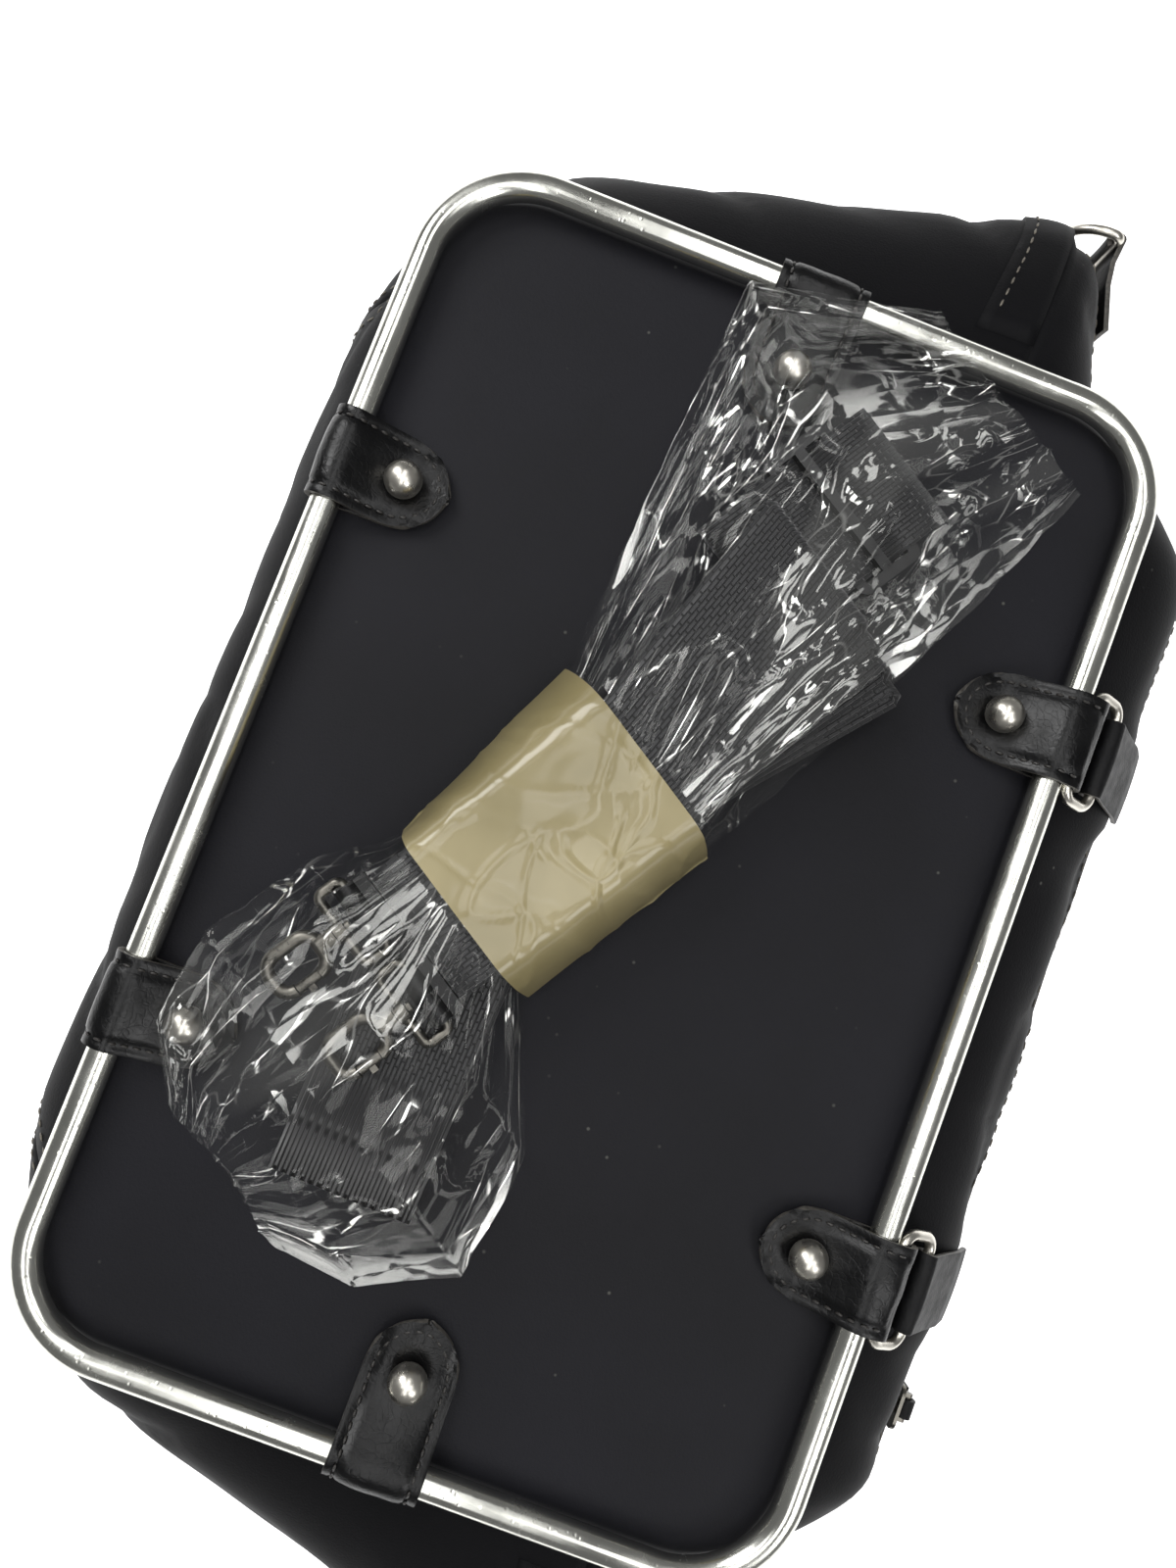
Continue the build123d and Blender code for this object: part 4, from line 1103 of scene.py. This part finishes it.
def wall_panel(name, columns, row_range, materials, replaces, thickness=0.0012, proud=0.0):
    """One sewn panel: a curved sheet over some columns and rows of the wall."""
    shape = bmesh.new()
    low, high = row_range
    count = high - low
    bmesh.ops.create_grid(shape, x_segments=len(columns) - 1, y_segments=count, size=0.5)
    sheet_uv = {}
    for vert in shape.verts:
        side, column = columns[round((vert.co.x + 0.5) * (len(columns) - 1))]
        row = low + round((vert.co.y + 0.5) * count)
        sheet_uv[vert] = ((vert.co.x + 0.5) * len(columns) * 0.004, vert.co.y * count * 0.003)
        vert.co = wall_point(side, column, row, proud)[0]
    unwrap(shape, sheet_uv)
    bmesh.ops.recalc_face_normals(shape, faces=shape.faces)
    middle = max(shape.faces, key=lambda face: face.calc_center_median().xy.length)
    if middle.normal.xy.dot(middle.calc_center_median().xy) < 0:
        bmesh.ops.reverse_faces(shape, faces=shape.faces)
    bmesh.ops.solidify(shape, geom=shape.faces[:], thickness=thickness)
    bmesh.ops.recalc_face_normals(shape, faces=shape.faces)
    return finish_piece(name, shape, materials, "bag", replaces)


HEM_THICKNESS, HEM_PROUD = 0.0010, 0.0011
TAPE_THICKNESS, TAPE_SINK = 0.0009, 0.0003
LAST_ROW = len(HEIGHTS) - 1
ZIP_ROW = HEIGHTS.index(ZIP_BAND / GUSSET_HALF)
CHAIN_ROW = HEIGHTS.index(CHAIN_HALF / GUSSET_HALF)
base_columns = [(-1, c) for c in range(BEND_COLUMN, 0, -1)] + [(1, c) for c in range(BEND_COLUMN + 1)]
top_columns = [(1, c) for c in range(HEM_COLUMN, LAST_COLUMN + 1)]
top_columns += [(-1, c) for c in range(LAST_COLUMN - 1, HEM_COLUMN - 1, -1)]

wall_panel("base_wall", base_columns, (0, LAST_ROW), [shaded_wall_nylon], ["base_gusset"])
for name, side in (("near", 1), ("far", -1)):
    end_columns = [(side, c) for c in range(BEND_COLUMN, HEM_COLUMN + 1)]
    wall_panel(
        f"{name}_end_wall", end_columns, (0, LAST_ROW),
        [shaded_wall_nylon], [f"{name}_end_gusset"],
    )
    hem_columns = [(side, c) for c in range(HEM_COLUMN - 5, HEM_COLUMN + 1)]
    wall_panel(
        f"{name}_end_hem", hem_columns, (2, LAST_ROW - 2),
        [shaded_wall_nylon], (), HEM_THICKNESS, HEM_PROUD,
    )
wall_panel(
    "front_zip_wall", top_columns, (0, ZIP_ROW), [shaded_wall_nylon], ["front_top_gusset"]
)
wall_panel(
    "back_zip_wall", top_columns, (LAST_ROW - ZIP_ROW, LAST_ROW),
    [shaded_wall_nylon], ["back_top_gusset"],
)


def stitch_row(shape, points, ups, pitch, length, thickness):
    """A row of stitches along a run of points."""
    count = max(1, int(run_length(points) / pitch))
    for step in range(count):
        spot, heading = walk(points, (step + 0.5) / count)
        nearest = min(range(len(points)), key=lambda index: (points[index] - spot).length)
        up = ups[nearest] - heading * heading.dot(ups[nearest])
        stitch(shape, spot, heading, up.normalized(), length, thickness)


# Stitches of each seam: the distance from one to the next, their length and thickness.
HEM_STITCH = (0.0045, 0.0032, 0.0008)
ZIP_STITCH = (0.0042, 0.0030, 0.0006)
RING_STITCH = (0.0031, 0.0022, 0.0007)
END_STITCH = (0.0034, 0.0024, 0.0007)

# Grey thread of the hems and panel seams, in long stitches.
grey_thread, tree, shader = new_material("grey_thread")
mottle(tree, shader, 1400.0, 0.75, 0.5, "#5C574E", "#7A756A", 0.00015)
shape = bmesh.new()
for side in (1, -1):
    for column, proud in (
        (HEM_COLUMN - 4, 0.0013), (BEND_COLUMN + 1, 0.0002), (BEND_COLUMN - 1, 0.0002)
    ):
        found = [wall_point(side, column, row, proud) for row in range(3, LAST_ROW - 2)]
        stitch_row(shape, [f[0] for f in found], [f[1] for f in found], *HEM_STITCH)
    for row in (ZIP_ROW - 1, LAST_ROW - ZIP_ROW + 1):
        found = [
            wall_point(side, column, row, 0.0002) for column in range(HEM_COLUMN + 2, LAST_COLUMN + 1)
        ]
        stitch_row(shape, [f[0] for f in found], [f[1] for f in found], *ZIP_STITCH)
bmesh.ops.recalc_face_normals(shape, faces=shape.faces)
finish_piece("wall_stitching", shape, [grey_thread], "bag")

# ---------------------------------------------------------------- zip
# Two woven tapes carry a closed nylon coil along the whole top, out to the
# points of both ends. Each hook of the coil is one short rounded bar. The woven
# ribs are drawn 1.4 mm apart, about twice as coarse as real ones, so they show.
zip_tape, tree, shader = new_material("zip_tape")
mottle(tree, shader, 800.0, 0.85, 0.7, "#0A0A0B", "#131315", 0.0001)
ribs = add_node(tree, "TexWave", {"Vector": add_node(tree, "UVMap", uv_map="flat"), "Scale": 220.0})
weave = add_node(tree, "Bump", {"Height": ribs, "Strength": 0.4, "Distance": 0.0002})
join(tree, shader, Normal=weave)
zip_coil, tree, shader = new_material("nylon_coil")
mottle(tree, shader, 700.0, 0.5, 0.28, "#131315", "#1E1E21", 0.00006)

wall_panel(
    "front_tape_web", top_columns, (ZIP_ROW, CHAIN_ROW),
    [zip_tape], ["front_zip_tape"], TAPE_THICKNESS, -TAPE_SINK,
)
wall_panel(
    "back_tape_web", top_columns, (LAST_ROW - CHAIN_ROW, LAST_ROW - ZIP_ROW),
    [zip_tape], ["back_zip_tape"], TAPE_THICKNESS, -TAPE_SINK,
)

COIL_PITCH = 0.0015
COIL_SINK = 0.0014
HOOK_SIZE = (0.0030, 0.0011, 0.0012)
shape = bmesh.new()
for row, way in ((CHAIN_ROW + 1, 1), (LAST_ROW - CHAIN_ROW - 1, -1)):
    found = [wall_point(side, column, row, -COIL_SINK) for side, column in top_columns]
    points, ups = [f[0] for f in found], [f[1] for f in found]
    count = int(run_length(points) / COIL_PITCH)
    for step in range(count):
        spot, heading = walk(points, (step + 0.25 + 0.25 * way) / count)
        nearest = min(range(len(points)), key=lambda index: (points[index] - spot).length)
        across = Vector((0, 0, 1))
        up = heading.cross(across)
        basis = Matrix((across, heading, up)).transposed().to_4x4()
        sizes = Matrix.Diagonal((*HOOK_SIZE, 1))
        bmesh.ops.create_cube(
            shape, size=1, matrix=Matrix.Translation(spot - across * way * 0.0004) @ basis @ sizes
        )
bmesh.ops.bevel(
    shape, geom=shape.edges[:], offset=0.0002, segments=1,
    profile=0.5, affect="EDGES", material=-1, clamp_overlap=True,
)
finish_piece("coil", shape, [zip_coil], "bag", ["zip_chain"])

# The slider is cast and nickel plated, and its pull is a strip of matt calf,
# fine grained and almost without gloss.
matte_calf, tree, shader = new_material("matte_calf", Specular_IOR_Level=0.22)
mottle(tree, shader, 240.0, 0.62, 0.48, "#070708", "#0C0C0E", 0.0001)
place = add_node(tree, "TexCoord").outputs["Object"]
grain = add_node(tree, "TexVoronoi", {"Vector": place, "Scale": 1100.0})
hide = add_node(tree, "Bump", {"Height": grain, "Strength": 0.3, "Distance": 0.0002})
join(tree, shader, Normal=hide)
finish_nodes(dull_nickel, "zip_slider")
finish_nodes(matte_calf, "zip_pull")

# ---------------------------------------------------------------- rings and their leather
# Oblong wire rings hang on the two zip-side tabs of each frame. A leather
# strap, stitched along both edges, ties each ring down to the zip wall.
WIRE = 0.0015
WRAP = WIRE + 0.00015 + LEATHER / 2
RING_STRAP_HALF, RING_SEAM = 0.011, 0.0085
END_STRAP_HALF, END_SEAM = 0.0095, 0.0072


def leather_strip(name, path, half, across, place, replaces):
    """A strap of one width whose middle line follows a path, with its edges rounded."""
    line = soften([Vector(point) for point in path], 1)
    shape = bmesh.new()
    bmesh.ops.create_grid(shape, x_segments=60, y_segments=8, size=0.5)
    for vert in shape.verts:
        spot, heading = walk(line, min(1.0, vert.co.x + 0.5))
        crown = 0.0004 * (1 - (vert.co.y * 2) ** 2)
        out = heading.cross(across)
        vert.co = spot + out * crown + across * vert.co.y * 2 * half
    bmesh.ops.recalc_face_normals(shape, faces=shape.faces)
    bmesh.ops.transform(shape, matrix=place, verts=shape.verts)
    strip = finish_piece(name, shape, [matte_calf, inked_edge], "bag", replaces)
    cut_leather(strip, LEATHER * 0.9, 0.0005)
    return line


ring_tilt = math.radians(35)
RING_SIZE, RING_BEND = (0.030, 0.012), 0.0039
# Places in the ring straps' plane, out from the frame's centre and up from the bag's half depth.
RING_BAR = (0.11948, 0.0321)
TAIL_POINTS = ((0.1393, 0.0080), (0.1360, 0.0160), (0.1262, 0.0250))
stitches = bmesh.new()
for place_name in ("far", "near"):
    for side in ("front", "back"):
        low, high = [Vector(corner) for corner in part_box(f"{side}_{place_name}_ring")]
        middle = (low + high) / 2
        sign = 1 if side == "front" else -1
        shape = bmesh.new()
        round_loop(shape, *RING_SIZE, RING_BEND, WIRE, sides=18, steps=8)
        lean = Matrix.Translation(middle) @ Matrix.Rotation(-sign * ring_tilt, 4, "X")
        bmesh.ops.transform(shape, matrix=lean, verts=shape.verts)
        finish_piece(
            f"{side}_{place_name}_oval_ring", shape, [nickel], "bag",
            [f"{side}_{place_name}_ring"],
        )
        bar = Vector((0, frame_y + RING_BAR[0], middle_z + RING_BAR[1]))
        path = [(0, frame_y + out, middle_z + up) for out, up in TAIL_POINTS]
        for degrees in range(50, 291, 15):
            turn = math.radians(degrees)
            path.append(bar + Vector((0, math.cos(turn), math.sin(turn))) * WRAP)
        to_place = Matrix.Translation((middle.x, 0, 0))
        if sign < 0:
            to_place = mirror_back @ to_place
        line = leather_strip(
            f"{side}_{place_name}_ring_strap", path, RING_STRAP_HALF, Vector((1, 0, 0)),
            to_place, [f"{side}_{place_name}_chape"],
        )
        for edge in (-RING_SEAM, RING_SEAM):
            run = [point + Vector((edge, 0, 0)) for point in line[:12]]
            ups = []
            for a, b in zip(run, run[1:] + [run[-1] * 2 - run[-2]]):
                ups.append((b - a).normalized().cross(Vector((1, 0, 0))) * -1)
            lifted = [to_place @ (point + up * 0.0009) for point, up in zip(run, ups)]
            ups = [(to_place.to_3x3() @ up) for up in ups]
            stitch_row(stitches, lifted, ups, *RING_STITCH)
bmesh.ops.recalc_face_normals(stitches, faces=stitches.faces)
finish_piece("ring_strap_stitching", stitches, [thread], "bag")

# Each zip end's point carries a D-ring in a short folded strap of its own.
stitches = bmesh.new()
for name, side in (("near", 1), ("far", -1)):
    corner = Vector((ear_x, frame_y + ear_y + EAR_HALF, middle_z))
    bar = corner + Vector((0.0027, 0.0027, 0))
    along = Vector((-0.057, 0.017, 0)).normalized()
    off = Vector((-along.y, along.x, 0)) * -1
    path = [corner + along * run + off * 0.0012 for run in (0.026, 0.019, 0.012, 0.0045)]
    for degrees in range(60, -141, -15):
        turn = math.radians(degrees)
        path.append(bar + Vector((math.cos(turn), math.sin(turn), 0)) * WRAP)
    mirror_end = Matrix.Scale(side, 4, (1, 0, 0))
    line = leather_strip(
        f"{name}_end_strap", path, END_STRAP_HALF, Vector((0, 0, 1)),
        mirror_end, [f"{name}_end_chape"],
    )
    for edge in (-END_SEAM, END_SEAM):
        run = [point + Vector((0, 0, edge)) + off * 0.0010 for point in line[:4]]
        stitch_row(
            stitches, [mirror_end @ point for point in run], [mirror_end @ off] * 4, *END_STITCH
        )
    finish_nodes(nickel, f"{name}_end_ring")
bmesh.ops.recalc_face_normals(stitches, faces=stitches.faces)
finish_piece("end_strap_stitching", stitches, [grey_thread], "bag")

# ---------------------------------------------------------------- hidden stiffeners
# Grey board behind each face, a black twill lining glued over it, and the
# steel screws that hold the ball studs from inside.
greyboard, tree, shader = new_material("greyboard")
mottle(tree, shader, 260.0, 0.95, 0.85, "#7C7469", "#978F83", 0.0002)
lining, tree, shader = new_material("lining_twill")
mottle(tree, shader, 1200.0, 0.8, 0.6, "#141416", "#202023", 0.00015)
steel, tree, shader = new_material("turned_steel", Metallic=1.0)
mottle(tree, shader, 500.0, 0.45, 0.25, "#9A9A98", "#B4B4B1", 0.00004)
for side in ("front", "back"):
    finish_nodes(greyboard, f"{side}_board")
    finish_nodes(lining, f"{side}_lining")
    finish_nodes(steel, f"{side}_stud_screws")
